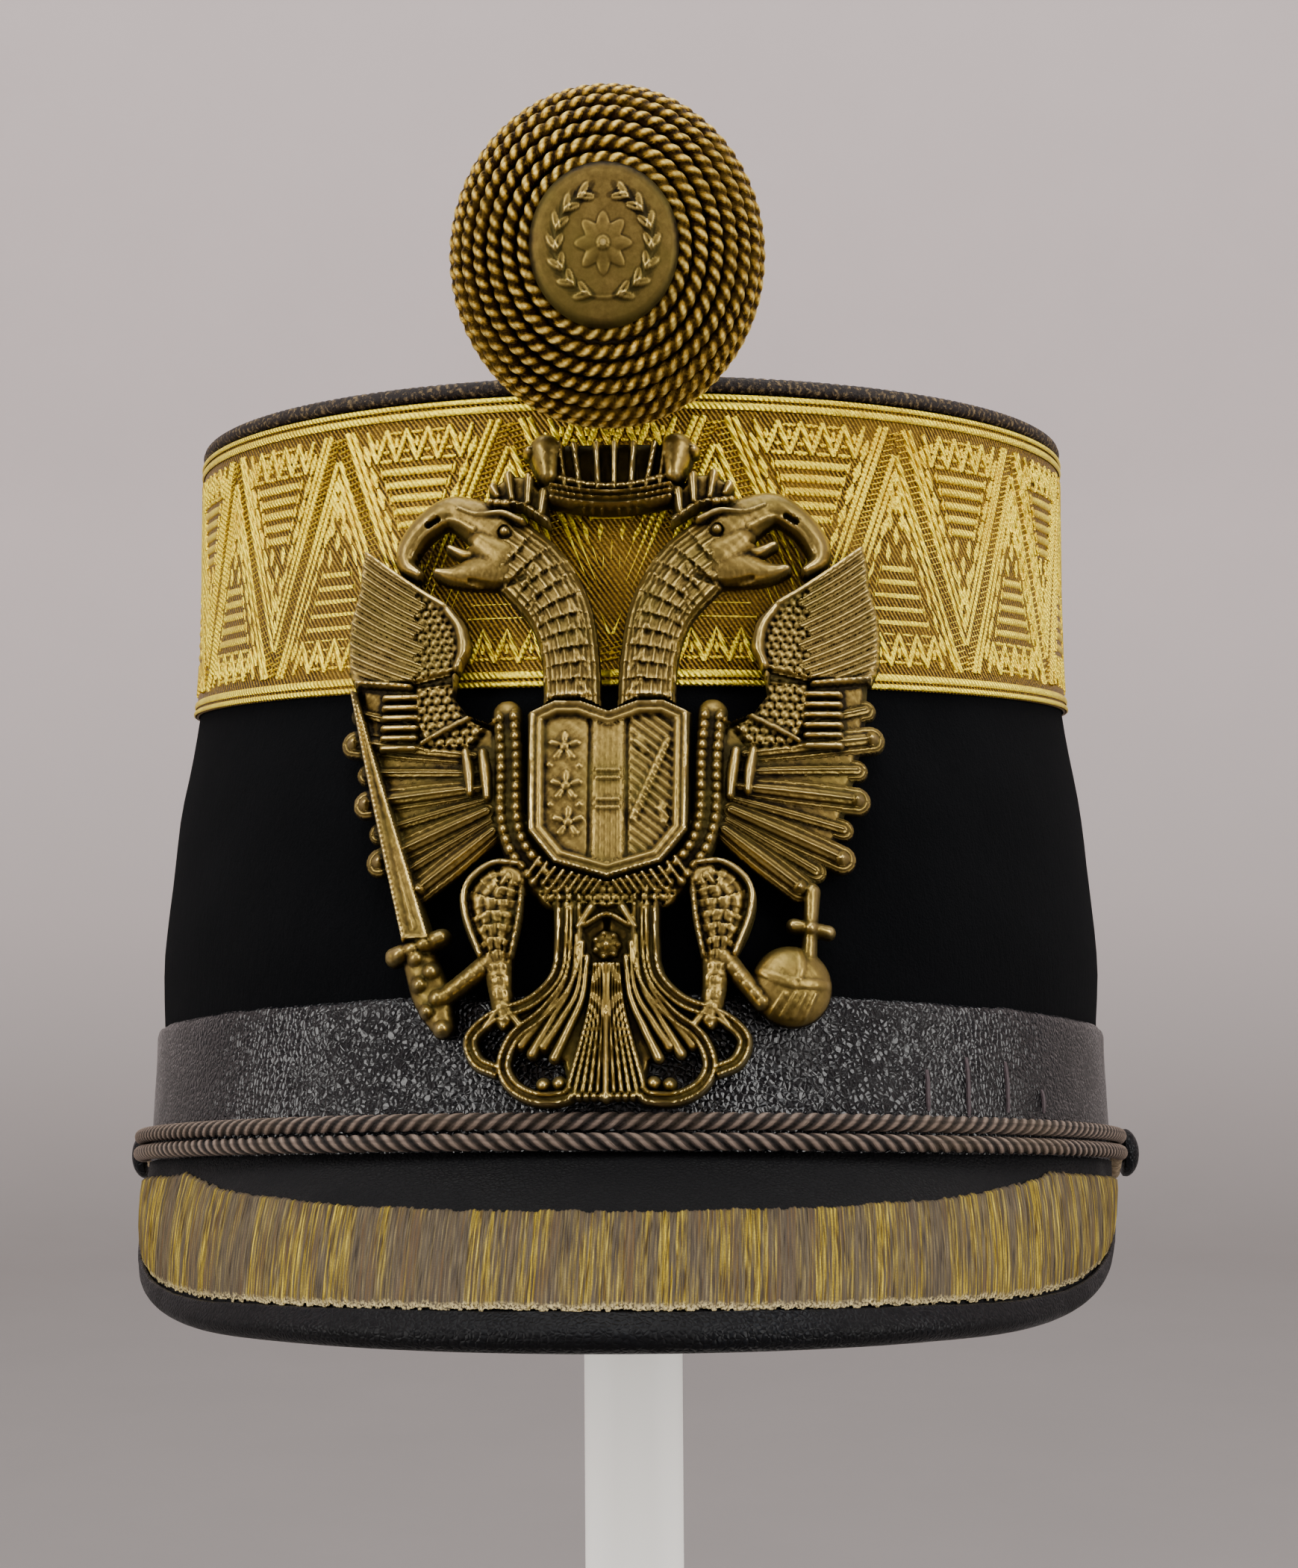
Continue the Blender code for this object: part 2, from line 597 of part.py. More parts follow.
def make_button(name, side, material, parent):
    """Domed side button on a shank, over the cords' ends."""
    cap_foot = CORD_DIAMETER + 2.0 * SEAT_GAP
    shank = 0.5 * BUTTON_SHANK_DIAMETER
    cap = 0.5 * BUTTON_DIAMETER
    profile = [(shank, 0.0), (shank, cap_foot)]
    profile += [(share * cap, cap_foot + rise * BUTTON_CAP_HEIGHT) for share, rise in BUTTON_DOME]
    shape = join_rings(turned_rings(profile, 16), first_pole=(0.0, 0.0, 0.0),
                       last_pole=(0.0, 0.0, cap_foot + BUTTON_CAP_HEIGHT))
    piece = add_piece(name, *shape, material, parent)
    offset = SEAT_GAP + LEATHER_THICKNESS + SEAT_GAP
    place = wall_points_at(np.array(side * 0.5 * math.pi), BUTTON_HEIGHT, offset)
    piece.location = place
    piece.rotation_euler = (0.0, side * 0.5 * math.pi, 0.0)
    return piece


class Relief:
    """A plate with raised forms, held as an inside distance and a rise on a square grid."""

    def __init__(self, step, half_width, height):
        columns = int(math.ceil(half_width / step)) + 1
        rows = int(math.ceil(height / step)) + 2
        self.step = step
        self.x, self.z = np.meshgrid(np.arange(-columns, columns + 1) * step,
                                     np.arange(-1, rows + 1) * step, indexing="ij")
        self.inside = np.full(self.x.shape, -1e3)
        self.rise = np.zeros(self.x.shape)

    def add(self, inside, rise):
        self.inside = np.maximum(self.inside, inside)
        self.rise = np.where(inside > 0.0, np.maximum(self.rise, rise), self.rise)

    def stroke(self, rows, rise, mirrored=False):
        """A round-backed bar along a smooth curve."""
        path = curve_through(rows, 5) if len(rows) > 1 else np.array([rows[0], rows[0]])
        x = -self.x if mirrored else self.x
        best = np.full(x.shape, -1e3)
        crown = np.zeros(x.shape)
        for (x0, z0, r0), (x1, z1, r1) in zip(path[:-1], path[1:]):
            run_x, run_z = x1 - x0, z1 - z0
            run = max(run_x**2 + run_z**2, 1e-9)
            t = np.clip(((x - x0) * run_x + (self.z - z0) * run_z) / run, 0.0, 1.0)
            away = np.hypot(x - x0 - t * run_x, self.z - z0 - t * run_z)
            radius = r0 + t * (r1 - r0)
            best = np.maximum(best, radius - away)
            crown = np.maximum(crown, np.sqrt(np.clip(1.0 - (away / radius) ** 2, 0.0, 1.0)))
        self.add(best, rise * crown)

    def both(self, rows, rise):
        self.stroke(rows, rise)
        self.stroke(rows, rise, mirrored=True)

    def field(self, corners, rise, edge=1.0, mirrored=False):
        """A flat-topped area with a sloping edge."""
        corners = np.array(corners)
        x = -self.x if mirrored else self.x
        away = np.full(x.shape, 1e3)
        within = np.zeros(x.shape, dtype=bool)
        for (x0, z0), (x1, z1) in zip(corners, np.roll(corners, -1, axis=0)):
            run_x, run_z = x1 - x0, z1 - z0
            t = np.clip(((x - x0) * run_x + (self.z - z0) * run_z) / (run_x**2 + run_z**2), 0.0, 1.0)
            away = np.minimum(away, np.hypot(x - x0 - t * run_x, self.z - z0 - t * run_z))
            crossing = (z0 > self.z) != (z1 > self.z)
            with np.errstate(divide="ignore", invalid="ignore"):
                cut = x0 + (self.z - z0) * run_x / np.where(run_z == 0.0, 1e-9, run_z)
            within ^= crossing & (x < cut)
        inside = np.where(within, away, -away)
        self.add(inside, rise * np.clip(inside / edge, 0.0, 1.0))

    def kept_cells(self):
        """Cells that hold metal; two that touch only at a corner are joined."""
        mean = 0.25 * (self.inside[:-1, :-1] + self.inside[1:, :-1]
                       + self.inside[:-1, 1:] + self.inside[1:, 1:])
        kept = mean > 0.0
        for _ in range(4):
            rising = kept[:-1, :-1] & kept[1:, 1:] & ~kept[1:, :-1] & ~kept[:-1, 1:]
            falling = ~kept[:-1, :-1] & ~kept[1:, 1:] & kept[1:, :-1] & kept[:-1, 1:]
            kept[1:, :-1] |= rising
            kept[:-1, :-1] |= falling
        return kept

    def mesh(self, plate, thinnest):
        """Vertices as x, z, rise rows, and faces: front, back and the walls between them."""
        kept = self.kept_cells()
        used = np.zeros(self.x.shape, dtype=int)
        for dx, dz in ((0, 0), (1, 0), (0, 1), (1, 1)):
            used[dx:dx + kept.shape[0], dz:dz + kept.shape[1]] += kept
        edge = (used > 0) & (used < 4)
        slope_x, slope_z = np.gradient(self.inside, self.step)
        steep = np.maximum(slope_x**2 + slope_z**2, 0.25)
        limit = 0.6 * self.step
        x = self.x - np.where(edge, np.clip(self.inside * slope_x / steep, -limit, limit), 0.0)
        z = self.z - np.where(edge, np.clip(self.inside * slope_z / steep, -limit, limit), 0.0)
        rise = np.where(edge, 0.0, self.rise)
        rise = plate + np.maximum(rise, thinnest)
        number = np.full(self.x.shape, -1)
        number[used > 0] = np.arange(np.count_nonzero(used))
        count = np.count_nonzero(used)
        front = np.stack([x[used > 0], z[used > 0], rise[used > 0]], axis=1)
        back = front * (1.0, 1.0, 0.0)
        faces = []
        walls = {}
        for i, j in zip(*np.nonzero(kept)):
            ring = (number[i, j], number[i + 1, j], number[i + 1, j + 1], number[i, j + 1])
            ring = tuple(int(value) for value in ring)
            faces.append(ring)
            faces.append(tuple(value + count for value in ring[::-1]))
            for start, end in zip(ring, ring[1:] + ring[:1]):
                if (end, start) in walls:
                    del walls[(end, start)]
                else:
                    walls[(start, end)] = True
        for start, end in walls:
            faces.append((end, start, start + count, end + count))
        return np.vstack([front, back]), faces


def draw_wing(relief, mirrored):
    """One spread wing: a fan of long feathers over a thin field."""
    relief.field(WING_FIELD, 0.30, mirrored=mirrored)
    roots = curve_through(WING_ROOT, 8)
    tips = curve_through(WING_TIPS, 8)
    for index in range(FEATHERS):
        share = index / (FEATHERS - 1)
        root = roots[int(round(share * (len(roots) - 1)))]
        tip = tips[int(round(share * (len(tips) - 1)))]
        lesser = index % 2
        half_width = FEATHER_HALF_WIDTHS[lesser]
        back = (root - tip) / np.linalg.norm(root - tip)
        tip = tip + back * FEATHER_INSET[lesser]
        middle = 0.5 * (root + tip)
        rows = ((*root, FEATHER_ROOT_SHARE * half_width), (*middle, half_width), (*tip, half_width))
        relief.stroke(rows, FEATHER_RISES[lesser], mirrored)
    relief.stroke(WING_BONE, 0.70, mirrored)


def draw_badge(step):
    """The eagle with its crowns, shield, sword, orb and tail, in badge units."""
    relief = Relief(step, 42.0, BADGE_UNITS)
    for mirrored in (False, True):
        draw_wing(relief, mirrored)
        relief.field(SMALL_CROWN, 0.55, mirrored=mirrored)
    for strand in TAIL_STRANDS:
        relief.both(strand, 0.60)
    for bead in TAIL_BEADS:
        relief.both((bead,), 0.70)
    relief.field(CROWN_FIELD, 0.30)
    relief.stroke(CROWN_BAND, 0.85)
    relief.both(CROWN_LOBE, 0.95)
    for rows, rise in ((NECK, 1.0), (JAW, 0.80), (BEAK, 0.85), (TONGUE, 0.55), (RIBBON, 0.55),
                       (CHAIN, 0.70), (THIGH, 0.90)):
        relief.both(rows, rise)
    relief.stroke(HIP, 0.55)
    relief.field(SHIELD, 0.85)
    relief.field(BLADE, 0.85)
    for rows, rise in ((GUARD, 0.90), (GRIP, 0.85), (GRASP, 0.75), (ORB, 1.0), (ORB_GRASP, 0.75),
                       (CROSS_POST, 0.65), (CROSS_ARM, 0.65)):
        relief.stroke(rows, rise)
    return relief


def badge_height():
    return float(wall_height(0.0)) - BADGE_FOOT_RISE - BADGE_TOP_DROP


def badge_points(flat):
    """Bend badge points round the front of the hat, clear of the leather band."""
    unit = badge_height() / BADGE_UNITS
    offset = SEAT_GAP + LEATHER_THICKNESS + BADGE_CLEARANCE + flat[:, 2]
    across = flat[:, 0] * unit
    height = BADGE_FOOT_RISE + flat[:, 1] * unit
    angle = 0.0 * across
    for _ in range(4):
        share = height / wall_height(angle, offset)
        angle = np.arcsin(across / (wall_section(share)[0] + offset))
    return wall_points_at(angle, height, offset)


def make_badge(material, parent):
    """The pierced badge, as one casting."""
    relief = draw_badge(BADGE_STEP)
    relief.rise *= BADGE_RELIEF
    flat, faces = relief.mesh(BADGE_PLATE, 0.0)
    piece = add_piece("eagle_badge", badge_points(flat), faces, material, parent)
    fewer = piece.modifiers.new("fewer_facets", "DECIMATE")
    fewer.ratio = BADGE_KEEP
    fewer.use_collapse_triangulate = True
    return piece


def oval_ring(share, depth, width, height):
    """One ring of an oval turned form, in the cockade's own frame: X right, Y up, Z forwards."""
    turn = np.arange(COCKADE_SIDES) * 2.0 * math.pi / COCKADE_SIDES
    return np.stack([0.5 * width * share * np.cos(turn), 0.5 * height * share * np.sin(turn),
                     depth + 0.0 * turn], axis=1)


def cockade_profile():
    """Share of the full radius and depth along the dome, with one ridge for each turn of rope."""
    radius = 0.25 * (COCKADE_WIDTH + COCKADE_HEIGHT)
    seat = (COCKADE_DISC_WIDTH + COCKADE_DISC_HEIGHT) / (COCKADE_WIDTH + COCKADE_HEIGHT)
    seat_turn = math.acos(seat + 0.5 * COCKADE_ROPE / radius)
    back_turn = -COCKADE_BACK
    fullest = COCKADE_DEPTH * COCKADE_FULLEST
    length = radius * (seat_turn - back_turn) * COCKADE_PACKING
    turns = int(round(length / COCKADE_ROPE))
    rows = []
    for index in range(2 * turns + 1):
        share = index / (2.0 * turns)
        turn = back_turn + (seat_turn - back_turn) * share
        swell = 0.0 if index % 2 == 0 else COCKADE_SWELL * COCKADE_ROPE
        reach = COCKADE_DEPTH - fullest if turn > 0.0 else fullest
        bend = math.sin(turn) / math.sin(seat_turn) if turn > 0.0 else math.sin(turn) / -math.sin(back_turn)
        base = 1.0 - COCKADE_SWELL * COCKADE_ROPE / radius
        rows.append((math.cos(turn) * base + swell * math.cos(turn) / radius,
                     fullest + reach * bend + swell * math.sin(turn)))
    return rows


def make_cockade(material, disc_material, parent):
    """Dome of rope turns with an oval disc in the middle of its front."""
    rim = wall_points(np.array(0.0), np.array(1.0), SEAT_GAP + LACE_THICKNESS)
    place = rim + (0.0, -COCKADE_STANDOFF, COCKADE_RISE)
    droop = HAT_TILT + COCKADE_DROOP
    rings = [oval_ring(share, depth, COCKADE_WIDTH, COCKADE_HEIGHT) for share, depth in cockade_profile()]
    front = float(rings[-1][0, 2])
    shape = join_rings(rings, first_pole=(0.0, 0.0, float(rings[0][0, 2])), last_pole=(0.0, 0.0, front))
    dome = add_piece("cockade_rope", *shape, material, parent, sharp_angle=math.radians(80.0))
    seat = front + SEAT_GAP
    rings = [oval_ring(share, seat + COCKADE_DISC_THICKNESS * rise, COCKADE_DISC_WIDTH, COCKADE_DISC_HEIGHT)
             for share, rise in DISC_PROFILE]
    shape = join_rings(rings, first_pole=(0.0, 0.0, seat),
                       last_pole=(0.0, 0.0, seat + COCKADE_DISC_THICKNESS))
    disc = add_piece("cockade_disc", *shape, disc_material, parent)
    for piece in (dome, disc):
        piece.location = place
        piece.rotation_euler = (0.5 * math.pi + droop, 0.0, 0.0)
    return place, droop


def make_cockade_stem(place, droop, material, parent):
    """Block that carries the cockade on the lace, just below the lid."""
    rim_height = float(wall_height(0.0))
    low = rim_height - STEM_BELOW_RIM
    high = rim_height + STEM_ABOVE_RIM
    lace = SEAT_GAP + LACE_THICKNESS + SEAT_GAP
    wall_low = wall_points_at(np.array(0.0), low, lace)
    wall_high = wall_points_at(np.array(0.0), rim_height, lace)

    def back_at(height):
        return place[1] - (height - place[2]) * math.tan(droop) + SEAT_GAP / math.cos(droop)

    outline = ((wall_low[1], low), (wall_high[1], high), (back_at(high), high), (back_at(low), low))
    sections = [[(x, y, z) for y, z in outline] for x in (-0.5 * STEM_WIDTH, 0.5 * STEM_WIDTH)]
    return add_piece("cockade_stem", *join_sections(sections), material, parent)


def make_stand(material):
    """Round foot, post and the flat pad under the hat's lid."""
    lid_floor = HAT_HEIGHT - LID_RECESS
    lid_level = SEAM_HEIGHT + lid_floor * math.cos(HAT_TILT) - TOP_SETBACK * math.sin(HAT_TILT)
    pad_top = lid_level - SEAT_GAP
    pad_foot = pad_top - PAD_THICKNESS
    post = 0.5 * POST_DIAMETER
    socket = post + SEAT_GAP
    base_profile = [(socket, BASE_THICKNESS - BASE_SOCKET), (socket, BASE_THICKNESS),
                    (0.5 * BASE_DIAMETER - STAND_EDGE, BASE_THICKNESS),
                    (0.5 * BASE_DIAMETER, BASE_THICKNESS - STAND_EDGE), (0.5 * BASE_DIAMETER, 0.0)]
    shape = join_rings(turned_rings(base_profile, STAND_SIDES),
                       first_pole=(0.0, 0.0, BASE_THICKNESS - BASE_SOCKET), last_pole=(0.0, 0.0, 0.0))
    add_piece("stand_base", *shape, material)
    low = BASE_THICKNESS - BASE_SOCKET + SEAT_GAP
    high = pad_foot + PAD_SOCKET - SEAT_GAP
    shape = join_rings(turned_rings([(post, low), (post, high)], STAND_SIDES),
                       first_pole=(0.0, 0.0, low), last_pole=(0.0, 0.0, high))
    add_piece("stand_post", *shape, material)
    pad_profile = [(socket, pad_foot + PAD_SOCKET), (socket, pad_foot),
                   (0.5 * PAD_DIAMETER - STAND_EDGE, pad_foot),
                   (0.5 * PAD_DIAMETER, pad_foot + STAND_EDGE), (0.5 * PAD_DIAMETER, pad_top)]
    shape = join_rings(turned_rings(pad_profile, STAND_SIDES),
                       first_pole=(0.0, 0.0, pad_foot + PAD_SOCKET), last_pole=(0.0, 0.0, pad_top))
    add_piece("stand_pad", *shape, material)


def main():
    clear_scene()
    felt = make_material("black_felt", (0.012, 0.012, 0.014), 0.95)
    leather = make_material("black_leather", (0.02, 0.02, 0.022), 0.45)
    lace = make_material("gold_lace", (0.70, 0.52, 0.16), 0.45, 0.6)
    visor_lace = make_material("visor_lace", (0.32, 0.25, 0.16), 0.7)
    cord = make_material("twisted_cord", (0.26, 0.20, 0.16), 0.8)
    brass = make_material("aged_brass", (0.50, 0.38, 0.16), 0.4, 1.0)
    bullion = make_material("gold_bullion", (0.42, 0.29, 0.08), 0.5, 0.7)
    white = make_material("white_paint", (0.80, 0.80, 0.79), 0.5)

    hat = bpy.data.objects.new("hat_frame", None)
    bpy.context.collection.objects.link(hat)
    hat.location = (0.0, 0.0, SEAM_HEIGHT)
    hat.rotation_euler = (-HAT_TILT, 0.0, 0.0)

    make_felt_shell(felt, hat)
    make_leather_band(leather, hat)
    make_lace_band(lace, hat)
    make_lid(leather, hat)
    make_piping(leather, hat)
    make_visor_plate(leather, hat)
    make_visor_lace(visor_lace, hat)
    make_visor_binding(leather, hat)
    make_cord("chin_cord_upper", True, cord, hat)
    make_cord("chin_cord_lower", False, cord, hat)
    make_button("side_button_right", -1.0, leather, hat)
    make_button("side_button_left", 1.0, leather, hat)
    make_badge(brass, hat)
    place, droop = make_cockade(bullion, brass, hat)
    make_cockade_stem(place, droop, leather, hat)
    make_stand(white)


main()
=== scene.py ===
"""Looks of the laced dress shako with its eagle badge, on a plain white post stand."""

import math

import bmesh
import bpy
import numpy as np
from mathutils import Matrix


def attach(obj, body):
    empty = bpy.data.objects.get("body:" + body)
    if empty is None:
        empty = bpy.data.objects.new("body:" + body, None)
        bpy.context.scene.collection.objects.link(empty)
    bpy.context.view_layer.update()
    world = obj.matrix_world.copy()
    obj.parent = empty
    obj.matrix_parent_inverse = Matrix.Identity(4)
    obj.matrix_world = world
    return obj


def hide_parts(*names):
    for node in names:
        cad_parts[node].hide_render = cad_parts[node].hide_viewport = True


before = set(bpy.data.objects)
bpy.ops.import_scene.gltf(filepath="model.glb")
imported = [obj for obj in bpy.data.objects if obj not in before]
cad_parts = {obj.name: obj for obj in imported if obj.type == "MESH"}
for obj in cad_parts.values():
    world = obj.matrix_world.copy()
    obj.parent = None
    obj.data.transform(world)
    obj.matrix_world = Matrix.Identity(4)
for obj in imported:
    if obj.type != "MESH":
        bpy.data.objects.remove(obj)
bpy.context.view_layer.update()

# Sizes of the hat, in metres
BASE_HALF_WIDTH = 0.0821
BASE_HALF_LENGTH = 0.0992
TOP_HALF_WIDTH = 0.0788
TOP_HALF_LENGTH = 0.0881
TOP_SETBACK = 0.0060
HAT_HEIGHT = 0.1280
LID_SLOPE = math.radians(8.5)
WAIST_INSET = 0.0018
FELT_WALL = 0.0025
FELT_EDGE_EASE = 0.0004
SEAT_GAP = 0.0003
LEATHER_HEIGHT = 0.0217
LEATHER_THICKNESS = 0.0011
LACE_HEIGHT = 0.0470
LACE_THICKNESS = 0.0009
LID_THICKNESS = 0.0020
LID_RECESS = 0.0030
PIPING_DIAMETER = 0.0026
PIPING_OFFSET = -0.0003
VISOR_REACH = 0.0319
VISOR_SIDE_REACH = -0.0024
VISOR_DROP = 0.0226
VISOR_CROWN = 0.0010
VISOR_THICKNESS = 0.0016
VISOR_END_ANGLE = math.radians(84.0)
VISOR_DROP_SPREAD = 0.78
VISOR_DROP_POWER = 0.80
VISOR_CROWDING = 0.12
BINDING_WIDTH = 0.0029
BINDING_UNDER_WIDTH = 0.0027
BINDING_THICKNESS = 0.0008
VISOR_LACE_WIDTH = 0.0198
VISOR_LACE_THICKNESS = 0.0007
CORD_DIAMETER = 0.0025
CORD_PITCH = 0.0072
STITCH_THICKNESS = 0.00076
BUTTON_HEIGHT = 0.0015
BUTTON_DIAMETER = 0.0085
BUTTON_CAP_HEIGHT = 0.0030
BUTTON_SHANK_DIAMETER = 0.0036
BADGE_FOOT_RISE = 0.0055
BADGE_TOP_DROP = 0.0072
BADGE_CLEARANCE = 0.0007
BADGE_PLATE = 0.0010
BADGE_RELIEF = 0.0042
COCKADE_WIDTH = 0.0466
COCKADE_HEIGHT = 0.0502
COCKADE_DEPTH = 0.0215
COCKADE_FULLEST = 0.50
COCKADE_ROPE = 0.0024
COCKADE_ROPE_PITCH = 0.0044
COCKADE_ROPE_SPACING = 1.05
COCKADE_RISE = 0.0175
COCKADE_STANDOFF = 0.0060
COCKADE_DROOP = math.radians(5.0)
COCKADE_BACK = math.radians(38.0)
COCKADE_DISC_WIDTH = 0.0214
COCKADE_DISC_HEIGHT = 0.0236
COCKADE_DISC_THICKNESS = 0.0030
STEM_WIDTH = 0.0120
STEM_BELOW_RIM = 0.0025
STEM_ABOVE_RIM = 0.0070
SEAM_HEIGHT = 0.2500
POST_DIAMETER = 0.0175
PAD_DIAMETER = 0.0900
PAD_THICKNESS = 0.0080
PAD_SOCKET = 0.0050
BASE_DIAMETER = 0.1800
BASE_THICKNESS = 0.0140
BASE_SOCKET = 0.0100
STAND_EDGE = 0.0020
HAT_TILT = LID_SLOPE
MILLIMETRE = 0.001

# Waist of the body: height share, share of the waist inset
WAIST_TABLE = (
    (0.00, 0.00), (0.15, -0.10), (0.27, -0.75), (0.38, -0.50), (0.48, -0.15),
    (0.57, 0.60), (0.64, 1.00), (0.76, 0.90), (0.89, 0.45), (1.00, 0.00),
)

# The lace's figures: this many repeats round the hat, drawn in millimetres
LACE_REPEATS = 17
LACE_REPEAT = 32.0
LACE_TALL = 47.0
LACE_GROUND = 0.00045

# Where the lace's wedges end below and above, and the width of a tooth, in millimetres
LACE_FOOT = 3.5
LACE_HEAD = 43.5
LACE_TOOTH = 3.9

# The badge is drawn in units of which its full height holds this many, on a grid with this step.
# Of its facets this share is kept.
BADGE_UNITS = 102.0
BADGE_HALF_WIDTH = 42.0
BADGE_STEP = 0.20
BADGE_KEEP = 0.37
DISC_CONTRAST = 9.0

# Camera: the photograph's height and the lens in its pixels, then metres and radians
PHOTO_HEIGHT_PIXELS = 2100.0
FOCAL_PIXELS = 3215.0
SHIFT_PIXELS = 25.5
SENSOR_WIDTH = 36.0
CAMERA_AWAY = 0.430
CAMERA_ABOVE_SEAM = 0.057
CAMERA_TURN = math.radians(2.0)
CAMERA_PITCH = math.radians(1.4)
CAMERA_ROLL = 0.0066


def full_turn(steps):
    """Angles once round, in even steps."""
    return np.arange(steps) * 2.0 * math.pi / steps


def ring_angles(steps):
    """Angles once round the hat, from its back."""
    return full_turn(steps) - math.pi


def stacked(*columns):
    """Columns side by side along a last axis, single numbers spread out to match."""
    return np.stack(np.broadcast_arrays(*columns), axis=-1)


def arc_length(points):
    """Distance along a route from its first point."""
    return np.concatenate([[0.0], np.cumsum(np.linalg.norm(np.diff(points, axis=0), axis=1))])


def smooth_table(table, value):
    """Read a two-column table at value, along a smooth curve through its rows."""
    rows = np.array(table)
    at, level = rows[:, 0], rows[:, 1]
    slope = np.gradient(level, at)
    value = np.asarray(value, dtype=float)
    span = np.clip(np.searchsorted(at, value) - 1, 0, len(at) - 2)
    width = at[span + 1] - at[span]
    t = np.clip((value - at[span]) / width, 0.0, 1.0)
    near = (2 * t**3 - 3 * t**2 + 1) * level[span] + (t**3 - 2 * t**2 + t) * width * slope[span]
    far = (3 * t**2 - 2 * t**3) * level[span + 1] + (t**3 - t**2) * width * slope[span + 1]
    return near + far


def curve_through(points, per_span):
    """Points along a smooth curve through the given rows; every column is carried along."""
    rows = np.array(points, dtype=float)
    padded = np.vstack([2 * rows[0] - rows[1], rows, 2 * rows[-1] - rows[-2]])
    out = []
    for index in range(1, len(padded) - 2):
        before, start, end, after = padded[index - 1:index + 3]
        for step in range(per_span):
            t = step / per_span
            out.append(0.5 * (2 * start + (end - before) * t
                              + (2 * before - 5 * start + 4 * end - after) * t**2
                              + (3 * start - before - 3 * end + after) * t**3))
    out.append(rows[-1])
    return np.array(out)


def wall_height(angle, offset=0.0):
    """Height of the lid's plane over the wall, which is lower at the front."""
    return HAT_HEIGHT - (TOP_HALF_LENGTH + offset) * np.cos(angle) * math.tan(LID_SLOPE)


def wall_section(share):
    """Half width, half length and centre of the felt's outer face at a share of its height."""
    inset = WAIST_INSET * smooth_table(WAIST_TABLE, share)
    half_width = BASE_HALF_WIDTH + (TOP_HALF_WIDTH - BASE_HALF_WIDTH) * share - inset
    half_length = BASE_HALF_LENGTH + (TOP_HALF_LENGTH - BASE_HALF_LENGTH) * share - inset
    return half_width, half_length, TOP_SETBACK * share


def wall_points(angle, share, offset):
    """Points on the body, a given distance outside the felt's outer face."""
    half_width, half_length, centre = wall_section(share)
    return stacked((half_width + offset) * np.sin(angle), centre - (half_length + offset) * np.cos(angle),
                   share * wall_height(angle, offset))


def wall_points_at(angle, height, offset):
    """The same, at a height above the bottom edge."""
    return wall_points(angle, height / wall_height(angle, offset), offset)


def wall_outward(angle):
    """Level directions that point out of the body."""
    return stacked(np.sin(angle), -np.cos(angle), 0.0)


def lid_points(angle, offset, lift):
    """Points on a plane parallel to the lid's, a lift above the wall's top edge."""
    points = wall_points(angle, np.ones_like(angle), offset)
    points[..., 2] += lift
    return points


def visor_ruling(angle):
    """Inner and outer end of the visor's top face at an angle."""
    half_width = BASE_HALF_WIDTH + LEATHER_THICKNESS + SEAT_GAP
    half_length = BASE_HALF_LENGTH + LEATHER_THICKNESS + SEAT_GAP
    reach = np.clip(np.cos(angle) / VISOR_DROP_SPREAD, 0.0, 1.0)
    drop = VISOR_DROP * np.sin(0.5 * math.pi * reach) ** VISOR_DROP_POWER
    inner = stacked(half_width * np.sin(angle), -half_length * np.cos(angle), -SEAT_GAP)
    outer = stacked((half_width + VISOR_SIDE_REACH) * np.sin(angle),
                    -(half_length + VISOR_REACH) * np.cos(angle), -SEAT_GAP - drop)
    return inner, outer


def visor_frame(angle):
    """Inner end, unit direction outwards, unit normal upwards and length of each ruling."""
    inner, outer = visor_ruling(angle)
    run = outer - inner
    length = np.linalg.norm(run, axis=-1)
    along = run / length[..., None]
    step = 1e-3
    tangent = visor_ruling(angle + step)[1] - visor_ruling(angle - step)[1]
    normal = np.cross(tangent, along)
    side = np.sign(np.sum(normal * stacked(np.sin(angle), -np.cos(angle), 1.0), axis=-1))
    normal *= (side / np.linalg.norm(normal, axis=-1))[..., None]
    return inner, along, normal, length


def visor_points(angle, distance, lift):
    """Points a distance out from the seam along the visor, a lift above its top face."""
    inner, along, normal, length = visor_frame(angle)
    share = np.clip(distance / length, 0.0, 1.0)
    crown = VISOR_CROWN * 4.0 * share * (1.0 - share) * np.clip(length / VISOR_REACH, 0.0, 1.0)
    return inner + along * np.asarray(distance)[..., None] + normal * np.asarray(lift + crown)[..., None]


def visor_angles(steps):
    """Angles across the visor, closer together towards its ends."""
    share = np.linspace(-1.0, 1.0, steps + 1)
    return VISOR_END_ANGLE * (share + VISOR_CROWDING * np.sin(math.pi * share))


def tipped(points):
    """From the hat's own frame to the stand's, tipped back by the slope of the lid."""
    c, s = math.cos(HAT_TILT), math.sin(HAT_TILT)
    x, y, z = np.moveaxis(np.asarray(points, dtype=float), -1, 0)
    return stacked(x, y * c + z * s, z * c - y * s + SEAM_HEIGHT)


# Small waves that repeat the same way on every run
def ripple(x, y=0.0, seed=0.0):
    """A smooth irregular value from -1 to 1."""
    total = 0.0
    for order, (a, b) in enumerate(((1.0, 1.31), (1.93, -2.17), (3.71, 2.89), (6.13, -5.3))):
        total = total + np.sin(a * x + b * y + 2.4 * seed + 1.7 * order) / (1.0 + 0.7 * order)
    return total / 2.1


def scatter(index, seed=0.0):
    """A fixed irregular value from 0 to 1 for each whole number."""
    value = np.sin(np.asarray(index, dtype=float) * 12.9898 + seed * 78.233) * 43758.5453
    return value - np.floor(value)


